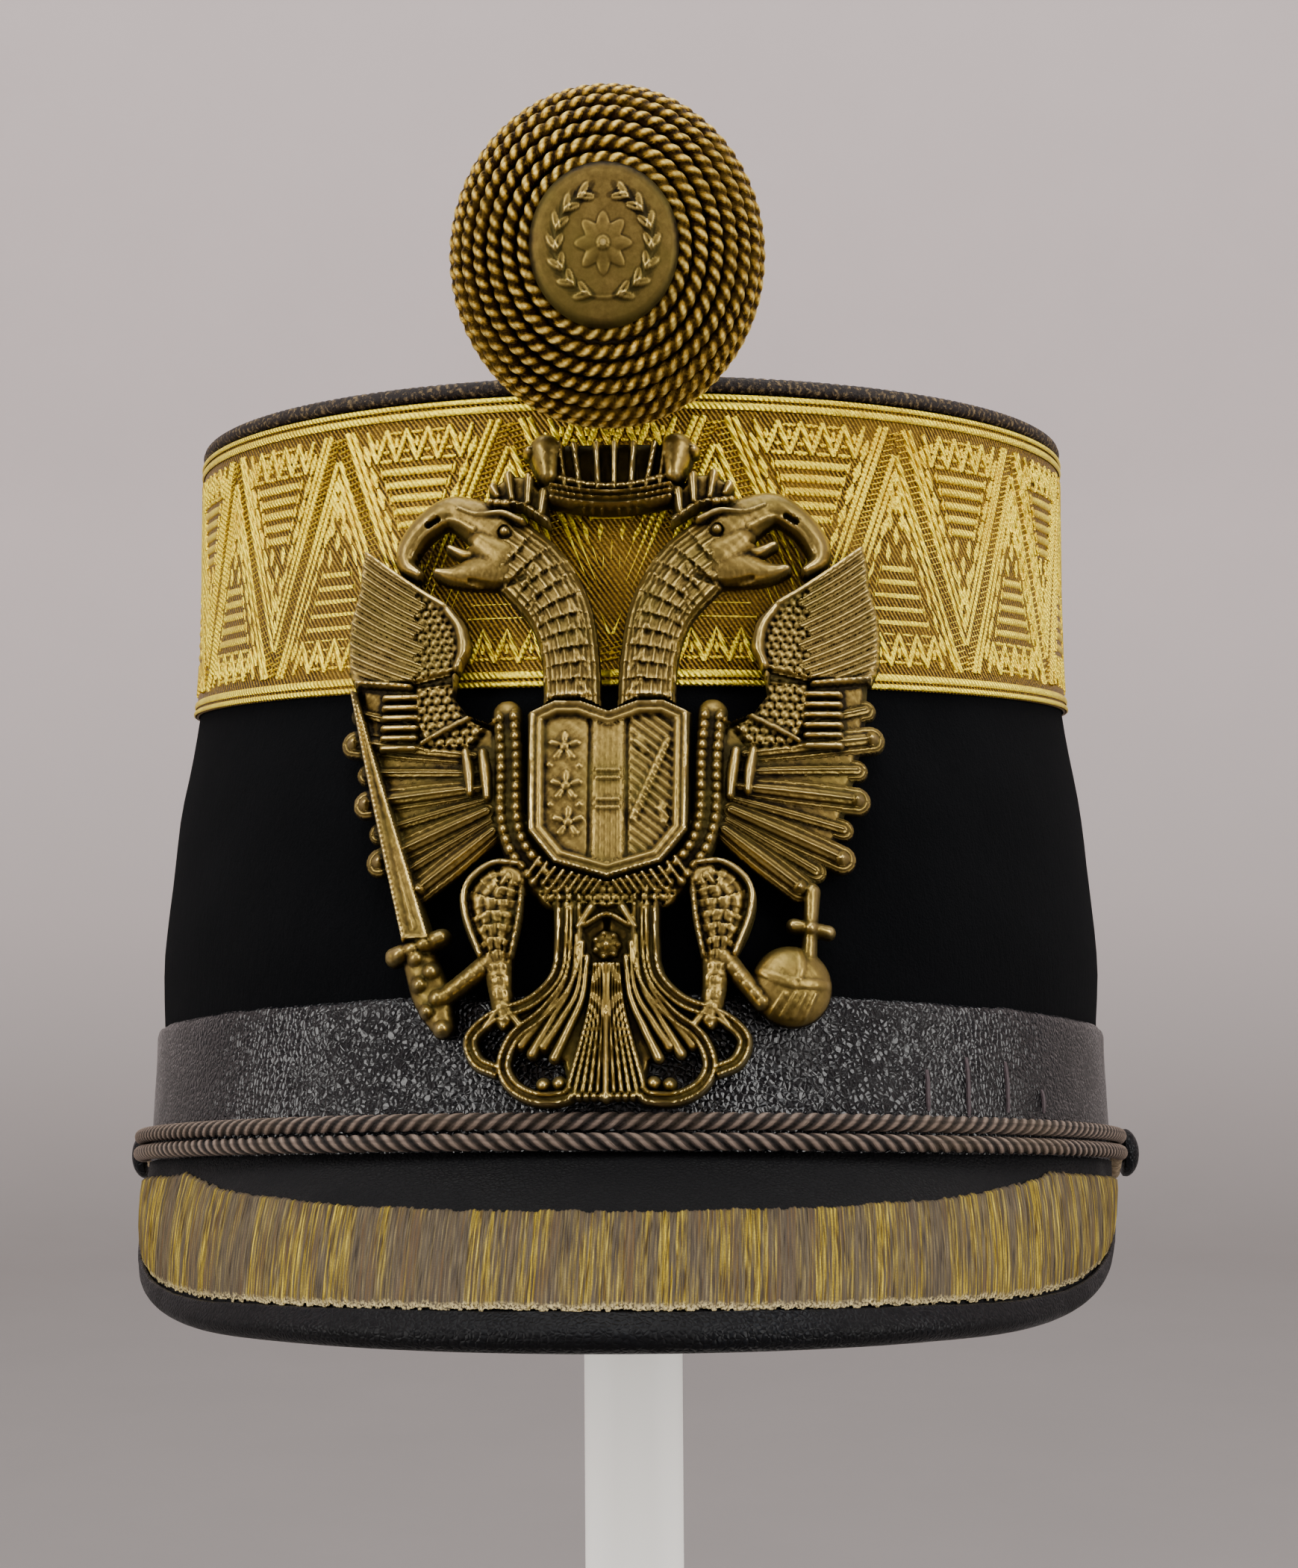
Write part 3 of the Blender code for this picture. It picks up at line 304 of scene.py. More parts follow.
class Solid:
    """Collects closed bodies into one mesh, with named values kept on its points."""

    def __init__(self):
        self.points, self.quads, self.triangles, self.values = [], [], [], {}
        self.count = 0

    def add(self, points, quads, triangles=(), **values):
        points = np.asarray(points, dtype=float).reshape(-1, 3)
        self.points.append(points)
        for held, faces in ((self.quads, quads), (self.triangles, triangles)):
            if len(faces):
                held.append(np.asarray(faces, dtype=np.int64) + self.count)
        for name, value in values.items():
            self.values.setdefault(name, []).append(np.asarray(value, dtype=float).reshape(len(points), -1))
        self.count += len(points)
        return self

    @staticmethod
    def tube_faces(rows, sides):
        """Point numbers of a grid of outlines, the next point round, and the quads between the rows."""
        number = np.arange(rows * sides).reshape(rows, sides)
        after = np.roll(number, -1, axis=1)
        quads = np.stack([number[:-1], after[:-1], after[1:], number[1:]], axis=-1).reshape(-1, 4)
        return number, after, quads

    @classmethod
    def capped_faces(cls, rows, sides):
        """Quads of a tube and the triangles that close its two ends."""
        number, _, quads = cls.tube_faces(rows, sides)
        fans = []
        for ring in (number[0][::-1], number[-1]):
            fans += [(ring[0], ring[k], ring[k + 1]) for k in range(1, sides - 1)]
        return quads, np.array(fans)

    def grid(self, points, around=False, **values):
        """A body from a grid of closed outlines: each row is one outline, the ends closed or joined."""
        points = np.asarray(points)
        rows, sides = points.shape[:2]
        if not around:
            return self.add(points, *self.capped_faces(rows, sides), **values)
        number, after, _ = self.tube_faces(rows, sides)
        quads = np.stack([number, after, np.roll(after, -1, axis=0), np.roll(number, -1, axis=0)], axis=-1)
        return self.add(points, quads.reshape(-1, 4), **values)

    def poled(self, points, first, last, **values):
        """A body from rings that close to a pole at each end."""
        points = np.asarray(points)
        rows, sides = points.shape[:2]
        number, after, quads = self.tube_faces(rows, sides)
        low, high = rows * sides, rows * sides + 1
        fans = [(after[0, k], number[0, k], low) for k in range(sides)]
        fans += [(number[-1, k], after[-1, k], high) for k in range(sides)]
        padded = {}
        for name, value in values.items():
            value = np.asarray(value, dtype=float).reshape(rows * sides, -1)
            padded[name] = np.vstack([value, value[:1], value[-1:]])
        return self.add(np.vstack([points.reshape(-1, 3), first, last]), quads, fans, **padded)

    def build(self, name, material, node, slot, sharp=40.0, hat=True):
        """Make the piece; it replaces a node of the frame, or none."""
        points = np.vstack(self.points)
        if hat:
            points = tipped(points)
        quads = np.vstack([np.zeros((0, 4), dtype=np.int64), *self.quads])
        triangles = np.vstack([np.zeros((0, 3), dtype=np.int64), *self.triangles])
        mesh = bpy.data.meshes.new(name)
        mesh.vertices.add(len(points))
        mesh.vertices.foreach_set("co", points.astype(np.float32).ravel())
        corners = np.concatenate([quads.ravel(), triangles.ravel()])
        starts = np.concatenate([np.arange(len(quads)) * 4, 4 * len(quads) + np.arange(len(triangles)) * 3])
        mesh.loops.add(len(corners))
        mesh.loops.foreach_set("vertex_index", corners.astype(np.int32))
        mesh.polygons.add(len(starts))
        mesh.polygons.foreach_set("loop_start", starts.astype(np.int32))
        mesh.update(calc_edges=True)
        shape = bmesh.new()
        shape.from_mesh(mesh)
        bmesh.ops.recalc_face_normals(shape, faces=shape.faces)
        shape.to_mesh(mesh)
        shape.free()
        for label, parts in self.values.items():
            value = np.vstack(parts)
            kind, key = ("FLOAT", "value") if value.shape[1] == 1 else ("FLOAT_VECTOR", "vector")
            layer = mesh.attributes.new(label, kind, "POINT")
            layer.data.foreach_set(key, value.astype(np.float32).ravel())
        mesh.materials.append(material)
        mesh.shade_smooth()
        mesh.set_sharp_from_angle(angle=math.radians(sharp))
        piece = bpy.data.objects.new(name, mesh)
        bpy.context.collection.objects.link(piece)
        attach(piece, "root")
        if node:
            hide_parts(node)
        return piece


# Materials
class Look:
    """One procedural material, with short calls for its nodes."""

    def __init__(self, name, **sockets):
        self.material = bpy.data.materials.new(name)
        self.material.use_nodes = True
        self.tree = self.material.node_tree
        self.shader = self.tree.nodes["Principled BSDF"]
        for socket, value in sockets.items():
            self.shader.inputs[socket.replace("_", " ")].default_value = value

    def node(self, kind, inputs=(), **settings):
        node = self.tree.nodes.new(kind)
        for key, value in settings.items():
            setattr(node, key, value)
        for key, value in dict(inputs).items():
            self.feed(node.inputs[key], value)
        return node

    def feed(self, socket, value):
        if isinstance(value, bpy.types.NodeSocket):
            self.tree.links.new(value, socket)
        else:
            socket.default_value = value

    def place(self):
        return self.node("ShaderNodeTexCoord").outputs["Object"]

    def value(self, name):
        return self.node("ShaderNodeAttribute", attribute_name=name).outputs["Fac"]

    def spread(self):
        """Millimetres along and across the piece, as kept on its points."""
        return self.node("ShaderNodeAttribute", attribute_name="spread").outputs["Vector"]

    def scaled(self, vector, x, y, z=0.0):
        return self.node("ShaderNodeMapping", {"Vector": vector, "Scale": (x, y, z)}).outputs["Vector"]

    def noise(self, vector, scale=1.0, detail=3.0, roughness=0.55, distortion=0.0):
        inputs = {"Vector": vector, "Scale": scale, "Detail": detail, "Roughness": roughness,
                  "Distortion": distortion}
        return self.node("ShaderNodeTexNoise", inputs).outputs["Fac"]

    def pebbles(self, vector, scale):
        """Distance from the edges of small round cells."""
        inputs = {"Vector": vector, "Scale": scale}
        return self.node("ShaderNodeTexVoronoi", inputs, feature="DISTANCE_TO_EDGE").outputs["Distance"]

    def math(self, operation, a, b=0.0):
        return self.node("ShaderNodeMath", {0: a, 1: b}, operation=operation).outputs[0]

    def plus(self, a, b):
        return self.math("ADD", a, b)

    def minus(self, a, b):
        return self.math("SUBTRACT", a, b)

    def times(self, a, b):
        return self.math("MULTIPLY", a, b)

    def ramp(self, factor, *stops):
        """Colours or grey levels at positions along a factor."""
        node = self.node("ShaderNodeValToRGB", {"Fac": factor})
        elements = node.color_ramp.elements
        while len(elements) < len(stops):
            elements.new(0.5)
        for element, (position, colour) in zip(elements, stops):
            element.position = position
            element.color = (*colour, 1.0) if isinstance(colour, tuple) else (colour, colour, colour, 1.0)
        return node.outputs["Color"]

    def mix(self, factor, a, b):
        node = self.node("ShaderNodeMix", data_type="RGBA")
        self.feed(node.inputs["Factor"], factor)
        for key, colour in ((6, a), (7, b)):
            self.feed(node.inputs[key], (*colour, 1.0) if isinstance(colour, tuple) else colour)
        return node.outputs[2]

    def bump(self, height, distance, strength=1.0, normal=None):
        inputs = {"Height": height, "Distance": distance, "Strength": strength}
        if normal is not None:
            inputs["Normal"] = normal
        return self.node("ShaderNodeBump", inputs).outputs["Normal"]

    def finish(self, colour, normal=None, roughness=None, metallic=None):
        for key, value in (("Base Color", colour), ("Roughness", roughness), ("Normal", normal),
                           ("Metallic", metallic)):
            if value is not None:
                self.feed(self.shader.inputs[key], value)
        return self.material


def felt_look():
    look = Look("black_felt", Roughness=0.95, Sheen_Weight=0.010, Sheen_Roughness=0.5,
                Specular_IOR_Level=0.02)
    place = look.place()
    fibre = look.noise(place, 2600.0, 4.0, 0.7)
    cloud = look.noise(place, 45.0, 3.0, 0.6)
    colour = look.mix(look.times(cloud, fibre), (0.0008, 0.0010, 0.0013), (0.0050, 0.0052, 0.0060))
    nap = look.noise(look.scaled(place, 1.0, 1.0, 0.35), 900.0, 4.0, 0.7)
    return look.finish(colour, look.bump(look.plus(fibre, nap), 0.0003, 0.7))


def leather_look(name, gloss, grain, dent, wear_and_reflection_tint, shine):
    """Grained black leather: its roughness, the grain's scale and depth, the tint of rubbed grain tops (wear,
    and where bluish a painted reflection) and the shine.
    """
    look = Look(name, Specular_IOR_Level=shine)
    place = look.place()
    drift = look.node("ShaderNodeTexNoise", {"Vector": place, "Scale": 420.0}).outputs["Color"]
    drift = look.mix(0.0006, (0.0, 0.0, 0.0), drift)
    bent = look.node("ShaderNodeVectorMath", {0: place, 1: drift}, operation="ADD").outputs[0]
    crease = look.ramp(look.pebbles(bent, grain), (0.0, 0.0), (0.34, 1.0))
    wrinkle = look.noise(look.scaled(place, 1.0, 1.0, 2.2), 120.0, 5.0, 0.65, 0.6)
    worn = look.noise(place, 60.0, 4.0, 0.6)
    rub = look.ramp(worn, (0.42, 0.0), (0.72, 1.0))
    # Rubbed grain tops take the tint: wear, and where the tint is bluish also a painted reflection.
    colour = look.mix(look.times(rub, crease), (0.003, 0.003, 0.0035), wear_and_reflection_tint)
    rough = look.ramp(look.plus(worn, look.times(crease, -0.12)), (0.30, gloss + 0.22), (0.62, gloss))
    normal = look.bump(wrinkle, dent * 2.5, 0.30, look.bump(crease, dent, 0.45))
    return look.finish(colour, normal, rough)


def gold_thread_look(name, deep, mid, bright, tarnish, metallic, fine, twill=0.0):
    """Metal thread: dark in its hollows and bright on its crests, as painted shade and highlight, with fine
    windings and a slanting twill.
    """
    look = Look(name, Metallic=metallic, Specular_IOR_Level=0.2)
    place = look.place()
    spread = look.spread()
    weave = look.noise(look.scaled(spread, 1.4, 3.3), 1.0, 2.0, 0.6)
    spots = look.noise(place, 150.0, 4.0, 0.65)
    patch = look.noise(place, 32.0, 3.0, 0.55)
    thread = look.noise(place, fine, 2.0, 0.5)
    grain = look.plus(look.times(thread, 0.45), look.times(weave, 0.75))
    across = look.node("ShaderNodeVectorMath", {0: spread, 1: (7.2, 5.4, 0.0)}, operation="DOT_PRODUCT")
    grain = look.plus(grain, look.times(look.math("SINE", across.outputs["Value"]), twill))
    # Painted highlight and shade: the crest lifts the colour on the threads' backs; the grain and twill lower
    # it in the weave's grooves, where the bump dips too.
    level = look.plus(look.value("crest"), look.minus(grain, 0.62))
    colour = look.ramp(level, (0.05, deep), (0.42, mid), (0.95, bright))
    dull = look.ramp(look.plus(look.times(spots, 0.6), look.times(patch, 0.5)), (0.50, 0.0), (0.68, 1.0))
    colour = look.mix(look.times(dull, 0.55), colour, tarnish)
    return look.finish(colour, look.bump(grain, 0.00035, 0.8), look.ramp(thread, (0.30, 0.30), (0.70, 0.52)))


def brass_look(name, rough_low, grit, tone):
    """Aged cast brass: black-brown in its hollows, partly patina and partly painted shade; bright where it
    stands proud, partly rubbed and partly a painted highlight.
    """
    look = Look(name, Metallic=0.92, Specular_IOR_Level=0.4)
    place = look.place()
    turn = look.times(look.value("ridge"), 2.0 * math.pi)
    line = look.times(look.math("COSINE", turn), look.value("ridged"))
    speck = look.noise(place, 900.0, 4.0, 0.65)
    blotch = look.noise(place, 90.0, 4.0, 0.6)
    fine = look.plus(look.times(line, 0.10), look.times(look.minus(speck, 0.5), 0.28))
    # Crest brightens proud parts and hollow darkens recesses: partly rubbing and patina, partly painted
    # highlight and shade.
    proud = look.plus(tone, look.times(look.value("crest"), 0.34))
    level = look.plus(fine, look.minus(proud, look.times(look.value("hollow"), 0.95)))
    colour = look.ramp(level, (0.10, (0.012, 0.008, 0.003)), (0.36, (0.105, 0.068, 0.016)),
                       (0.60, (0.30, 0.210, 0.055)), (0.92, (0.72, 0.56, 0.22)))
    colour = look.mix(look.ramp(blotch, (0.46, 0.0), (0.66, 0.5)), colour, (0.12, 0.092, 0.018))
    normal = look.bump(line, 0.00022, 0.6, look.bump(speck, 0.00012, grit))
    return look.finish(colour, normal, look.ramp(level, (0.15, 0.62), (0.75, rough_low)))


def visor_lace_look():
    """Tarnished threads with yellow and brown streaks, painted shade between them, and a cream foot that is
    partly a painted highlight.
    """
    look = Look("visor_lace", Specular_IOR_Level=0.2)
    place = look.spread()
    group = look.noise(look.scaled(place, 0.17, 0.010), 1.0, 2.0, 0.55)
    streak = look.noise(look.scaled(place, 1.1, 0.030), 1.0, 3.0, 0.7)
    hair = look.noise(look.scaled(place, 3.4, 0.11), 1.0, 2.0, 0.7)
    speck = look.noise(look.scaled(place, 3.0, 3.0), 1.0, 3.0, 0.6)
    brown = look.noise(look.scaled(place, 0.75, 0.022), 1.0, 3.0, 0.7)
    foot = look.value("foot")
    gold = look.times(look.ramp(group, (0.42, 0.05), (0.56, 1.0)),
                      look.ramp(streak, (0.43, 0.0), (0.54, 1.0)))
    gold = look.math("MAXIMUM", gold, look.times(foot, look.ramp(speck, (0.40, 0.0), (0.60, 0.9))))
    plain = look.ramp(hair, (0.36, (0.012, 0.007, 0.002)), (0.50, (0.070, 0.051, 0.023)),
                      (0.72, (0.160, 0.122, 0.062)))
    plain = look.mix(look.ramp(brown, (0.50, 0.0), (0.60, 0.75)), plain, (0.085, 0.045, 0.014))
    yellow = look.ramp(hair, (0.38, (0.06, 0.032, 0.001)), (0.52, (0.33, 0.23, 0.010)),
                       (0.74, (0.78, 0.60, 0.070)))
    # Painted shade: dark between the threads, at their ragged ends and under the strip, broken into specks.
    thread_gap_shade = look.ramp(look.times(look.value("crest"), speck), (0.10, 0.75), (0.35, 0.0))
    colour = look.mix(thread_gap_shade, look.mix(gold, plain, yellow), (0.05, 0.038, 0.028))
    # The cream foot is paler stitching along the lower edge, and partly a painted highlight.
    cream = look.times(foot, look.ramp(speck, (0.42, 0.0), (0.56, 0.9)))
    colour = look.mix(cream, colour, (0.78, 0.64, 0.32))
    normal = look.bump(look.plus(hair, look.times(speck, 0.4)), 0.0003, 0.8)
    return look.finish(colour, normal, look.ramp(hair, (0.3, 0.75), (0.8, 0.5)), look.times(gold, 0.5))


def cord_look():
    """Grey-brown twisted cord with painted shade between its strands and a painted highlight on their backs,
    wound with paler thread at its ends.
    """
    look = Look("twisted_cord", Roughness=0.75, Sheen_Weight=0.03, Specular_IOR_Level=0.15)
    spread = look.spread()
    fibre = look.noise(look.scaled(spread, 0.5, 1.9), 1.0, 3.0, 0.6)
    patch = look.noise(look.place(), 70.0, 3.0, 0.5)
    # Painted shade and highlight: the crest darkens the colour between strands and lightens it on their backs.
    level = look.plus(look.value("crest"), look.times(look.minus(fibre, 0.5), 0.8))
    colour = look.ramp(level, (0.05, (0.004, 0.003, 0.0025)), (0.50, (0.040, 0.028, 0.022)),
                       (1.05, (0.215, 0.158, 0.124)))
    colour = look.mix(look.ramp(patch, (0.45, 0.0), (0.7, 0.30)), colour, (0.09, 0.062, 0.034))
    winding = look.noise(look.scaled(spread, 3.0, 0.3), 1.0, 2.0)
    wound = look.ramp(winding, (0.35, (0.075, 0.050, 0.028)), (0.65, (0.26, 0.195, 0.120)))
    return look.finish(look.mix(look.value("whipped"), colour, wound), look.bump(fibre, 0.0003, 0.8))


def piping_look():
    """Dark leather cord, rubbed brown on its crests."""
    look = Look("rim_piping", Specular_IOR_Level=0.25, Roughness=0.65)
    fleck = look.noise(look.place(), 1300.0, 3.0, 0.7)
    worn = look.times(look.ramp(fleck, (0.50, 0.0), (0.60, 0.85)), look.value("crest"))
    return look.finish(look.mix(worn, (0.008, 0.004, 0.003), (0.22, 0.150, 0.065)),
                       look.bump(fleck, 0.0003, 0.8))


def paint_look():
    """Satin white paint, brushed up and down."""
    look = Look("white_paint", Specular_IOR_Level=0.45)
    place = look.place()
    brushed = look.noise(look.scaled(place, 1.0, 1.0, 0.12), 160.0, 3.0, 0.5)
    cloud = look.noise(place, 22.0, 3.0, 0.5)
    return look.finish(look.mix(cloud, (0.91, 0.895, 0.84), (0.97, 0.96, 0.92)),
                       look.bump(brushed, 0.00008, 0.4), look.ramp(brushed, (0.3, 0.42), (0.7, 0.56)))


def thread_look():
    """Dark sewing thread."""
    look = Look("mending_thread", Roughness=0.7)
    strand = look.noise(look.place(), 1800.0, 3.0, 0.6)
    return look.finish(look.mix(strand, (0.012, 0.008, 0.010), (0.06, 0.035, 0.04)),
                       look.bump(strand, 0.0002, 0.6))


# Felt, leather band and lid
def make_felt(material):
    """A wall of felt with slightly uneven faces."""
    angle = ring_angles(192)
    rows_up, rows_down = 33, 12
    shares = np.concatenate([np.linspace(0.0, 1.0, rows_up), np.linspace(1.0, 0.0, rows_down)])
    offsets = np.concatenate([np.zeros(rows_up), np.full(rows_down, -FELT_WALL)])
    offsets[[0, rows_up - 1]] -= FELT_EDGE_EASE
    rings = [wall_points(angle, share, offset + 0.00007 * ripple(9 * angle, 21 * share))
             for share, offset in zip(shares, offsets)]
    Solid().grid(rings, around=True).build("felt_body", material, "felt_shell", "felt")


def make_leather_band(material):
    """A strip with a skived upper edge and shallow puckers over the seam."""
    angle = ring_angles(420)
    outer = SEAT_GAP + LEATHER_THICKNESS
    rings = []
    for share, cut in ((-0.013, 0.25), (0.02, 0.0), (0.12, 0.0), (0.25, 0.0), (0.4, 0.0), (0.55, 0.0),
                       (0.7, 0.0), (0.85, 0.0), (0.95, 0.0), (0.985, 0.2), (1.0, 0.65)):
        edge = 0.00022 * ripple(16 * angle, 0.0, 3.0) * share
        pucker = 0.00014 * ripple(26 * angle, 3.5 * share, 1.0) * math.exp(-6.0 * share)
        sag = 0.00008 * ripple(5 * angle, 4 * share, 2.0)
        rings.append(wall_points_at(angle, LEATHER_HEIGHT * share + edge,
                                    outer - cut * LEATHER_THICKNESS - 0.0001 + pucker + sag))
    for share in (1.0, -0.013):
        rings.append(wall_points_at(angle, share * LEATHER_HEIGHT, SEAT_GAP))
    Solid().grid(rings, around=True).build("leather_strip", material, "leather_band", "leather")


def make_lid(material):
    """A dished lid whose raised rim lies on the felt's top edge."""
    angle = ring_angles(160)
    inside = -(FELT_WALL + SEAT_GAP)
    rim = PIPING_OFFSET - 0.5 * PIPING_DIAMETER - SEAT_GAP
    top = SEAT_GAP + LID_THICKNESS
    floor = -LID_RECESS
    dish = floor + LID_THICKNESS
    below, above = np.array([[0.0, TOP_SETBACK, HAT_HEIGHT + level] for level in (floor, dish)])
    low_rim = lid_points(angle, inside, floor)
    high_rim = lid_points(angle, inside - 2.3 * LID_THICKNESS, dish)
    rings = [below + (low_rim - below) * share for share in (0.3, 0.6, 0.85)] + [low_rim]
    for offset, lift in ((inside, SEAT_GAP), (rim, SEAT_GAP), (rim, top - 0.0004), (rim - 0.0004, top),
                         (inside - 0.5 * LID_THICKNESS, top), (inside - LID_THICKNESS, top - 0.0006),
                         (inside - 1.7 * LID_THICKNESS, dish + 0.0008)):
        rings.append(lid_points(angle, offset, lift))
    rings.append(high_rim)
    for share in (0.9, 0.75, 0.55, 0.35, 0.18):
        ring = above + (high_rim - above) * share
        ring[:, 2] += 0.00018 * ripple(4 * angle, 7 * share)
        rings.append(ring)
    Solid().poled(rings, below, above).build("leather_lid", material, "crown_lid", "leather")


def rope_rings(route, outward, radius, sides, strands, pitch, depth, closed=False):
    """Sections of a twisted rope along a route; crest is 1 on a strand's back and 0 between strands."""
    if closed:
        ahead = np.roll(route, -1, axis=0) - np.roll(route, 1, axis=0)
        steps = np.linalg.norm(np.roll(route, -1, axis=0) - route, axis=1)
        total = steps.sum()
        pitch = math.copysign(total / max(1, round(total / abs(pitch))), pitch)
        along = np.concatenate([[0.0], np.cumsum(steps)[:-1]])
    else:
        ahead = np.gradient(route, axis=0)
        along = arc_length(route)
    ahead /= np.linalg.norm(ahead, axis=1)[:, None]
    outward = outward - ahead * np.sum(outward * ahead, axis=1)[:, None]
    outward /= np.linalg.norm(outward, axis=1)[:, None]
    upward = np.cross(ahead, outward)
    turn = full_turn(sides)
    phase = turn[None, :] - 2.0 * math.pi * along[:, None] / pitch
    crest = np.abs(np.cos(0.5 * strands * phase))
    reach = radius * (1.0 - depth * (1.0 - np.sqrt(crest)))
    points = (route[:, None, :] + outward[:, None, :] * (reach * np.cos(turn))[..., None]
              + upward[:, None, :] * (reach * np.sin(turn))[..., None])
    return points, crest**2, stacked(along[:, None] / MILLIMETRE, strands * phase, 0.0)


def make_piping(material):
    """A leather-covered cord round the lid."""
    angle = ring_angles(900)
    radius = 0.5 * PIPING_DIAMETER
    route = lid_points(angle, PIPING_OFFSET, SEAT_GAP + radius)
    points, crest, _ = rope_rings(route, wall_outward(angle), radius, sides=10, strands=2, pitch=0.0032,
                                  depth=0.16, closed=True)
    Solid().grid(points, around=True, crest=crest).build("rim_cord", material, "rim_piping", "leather",
                                                         sharp=180.0)


# Gold lace round the top
def lace_angle(across):
    """Angle of a distance in millimetres along the lace, 0 at the front."""
    fine = np.linspace(-math.pi, math.pi, 2001)
    middle = wall_height(fine, SEAT_GAP) - 0.5 * LACE_HEIGHT
    arc = arc_length(wall_points_at(fine, middle, SEAT_GAP))
    share = np.asarray(across) / (LACE_REPEATS * LACE_REPEAT) + 0.5
    return np.interp(share - np.floor(share), arc / arc[-1], fine)


def lace_points(across, up, lift):
    """Points over the felt, by millimetres along and up the lace."""
    angle = lace_angle(across)
    height = wall_height(angle, SEAT_GAP + lift) - LACE_HEIGHT * (1.0 - up / LACE_TALL)
    return wall_points_at(angle, height, SEAT_GAP + lift)


class Strokes:
    """Round-backed bars laid on the lace; each row of a bar holds across, up, half width."""

    # Across and up a bar's section, in half widths and shares of its rise
    PROFILE = np.array([(-1.0, -0.15), (-0.72, 0.62), (0.0, 1.0), (0.72, 0.62), (1.0, -0.15)])

    def __init__(self):
        self.rows = {}

    def add(self, rows, rise, crest):
        self.rows.setdefault(len(rows), []).append((rows, rise, crest))

    def fill(self, solid):
        room = LACE_THICKNESS - LACE_GROUND
        across, up = self.PROFILE.T
        sides = len(across)
        for count, entries in self.rows.items():
            rows, rise, bright = (np.array(column) for column in zip(*entries))
            run = np.gradient(rows[:, :, :2], axis=1)
            run /= np.maximum(np.linalg.norm(run, axis=2), 1e-9)[..., None]
            side = np.stack([-run[..., 1], run[..., 0]], axis=-1)
            flat = rows[:, :, None, :2] + side[:, :, None, :] * (rows[:, :, 2, None] * across)[..., None]
            shape = flat.shape[:3]
            lift = np.broadcast_to(LACE_GROUND + room * rise[:, None, None] * up, shape)
            # The crest paints a highlight along each bar's back that fades to painted shade at its foot;
            # bright sets its strength.
            crest = np.broadcast_to(bright[:, None, None] * np.clip(up, 0.0, 1.0) ** 0.8, shape)
            quads, fans = Solid.capped_faces(count, sides)
            shift = (np.arange(len(entries)) * count * sides)[:, None, None]
            solid.add(lace_points(flat[..., 0], flat[..., 1], lift), (quads[None] + shift).reshape(-1, 4),
                      (fans[None] + shift).reshape(-1, 3), crest=crest,
                      spread=stacked(flat[..., 0], flat[..., 1], 0.0))


def bar(x0, y0, x1, y1, width, rows=3, taper=0.55):
    """A straight bar with drawn-in ends."""
    share = np.linspace(0.0, 1.0, rows)
    half = width * (1.0 - (1.0 - taper) * np.abs(2.0 * share - 1.0) ** 3)
    return stacked(x0 + (x1 - x0) * share, y0 + (y1 - y0) * share, half)


def draw_wedge(put):
    """Teeth on the border, ladder bars that grow shorter, and lozenges up the middle and the sides."""
    for k in range(-2, 3):
        x = LACE_TOOTH * k
        for side in (-1.0, 1.0):
            put(bar(x, 9.4, x + 0.5 * LACE_TOOTH * side, 4.0, 0.68), 0.9)
        if abs(k) < 2:
            put(bar(x + 1.1, 4.6, x - 1.1, 4.6, 0.40), 0.6, 0.8)
        put(bar(x, 7.0, x, 5.4, 0.55), 0.8, 0.95)
    for k in (-1.5, -0.5, 0.5, 1.5):
        x = LACE_TOOTH * k
        put(bar(x - 1.15, 9.2, x + 1.15, 9.2, 0.50), 0.8, 0.95)
        put(bar(x - 0.55, 7.7, x + 0.55, 7.7, 0.46), 0.7, 0.9)
    for k, reach in enumerate((6.4, 5.5, 4.7, 3.9, 3.1)):
        level = 11.1 + 2.2 * k
        put(bar(-reach, level, reach, level, 0.80, 5, 0.85), 1.0)
        for side in (-1.0, 1.0):
            put(bar(side * (reach + 0.5), level - 0.9, side * (reach + 0.1), level + 0.9, 0.42), 0.8, 0.9)
    for level, apart in ((22.6, 1.7), (25.4, 0.0), (27.8, 1.25), (30.4, 0.0), (32.6, 0.85), (35.0, 0.0)):
        for side in ((-1.0, 1.0) if apart else (0.0,)):
            x = apart * side
            put(((x, level - 1.5, 0.15), (x, level - 0.3, 0.98), (x, level + 1.5, 0.15)), 0.9)


def draw_lace(strokes):
    """Wedges of figures, standing and hanging in turn, between slanting cords."""
    half = 0.5 * LACE_REPEAT
    tall = LACE_HEAD - LACE_FOOT
    lean = -1.6 * half / tall

    def slant(up):
        return half * (up - LACE_FOOT) / tall

    for repeat in range(LACE_REPEATS):
        for flip in (False, True):
            centre = LACE_REPEAT * repeat + (half if flip else 0.0)

            def put(rows, rise=1.0, crest=1.0):
                rows = np.array(rows, dtype=float)
                rows[:, 0] += centre
                if not flip:
                    rows[:, 1] = LACE_TALL - rows[:, 1]
                strokes.add(rows, rise, crest)

            draw_wedge(put)
            for side in (-1.0, 1.0):
                # A chain of lozenges beside the slanting cords
                for level in [8.0 + 3.7 * k for k in range(9)]:
                    x = half - slant(level) - 4.4
                    if x > 0.9:
                        put(((side * (x - lean), level - 1.75, 0.2), (side * x, level, 0.98),
                             (side * (x + lean), level + 1.75, 0.2)), 0.9)
                if not flip:
                    continue
                # Slanting cords, and the ladder of short threads between them
                for shift, width in ((-2.95, 0.56), (-1.66, 0.62), (1.66, 0.62), (2.95, 0.56)):
                    clear = (0.25 + abs(shift)) * tall / half
                    ends = (LACE_FOOT + 0.2, LACE_HEAD - clear)
                    if shift < 0.0:
                        ends = (LACE_FOOT + clear, LACE_HEAD - 0.2)
                    level = np.linspace(*ends, 15)
                    put(stacked(side * (half - slant(level) - shift), level, width), 0.95)
                for level in [4.3 + 0.95 * k for k in range(41)]:
                    x = side * (half - slant(level))
                    put(bar(x - 0.95, level - 0.25, x + 0.95, level + 0.25, 0.34, 2), 0.75, 0.95)


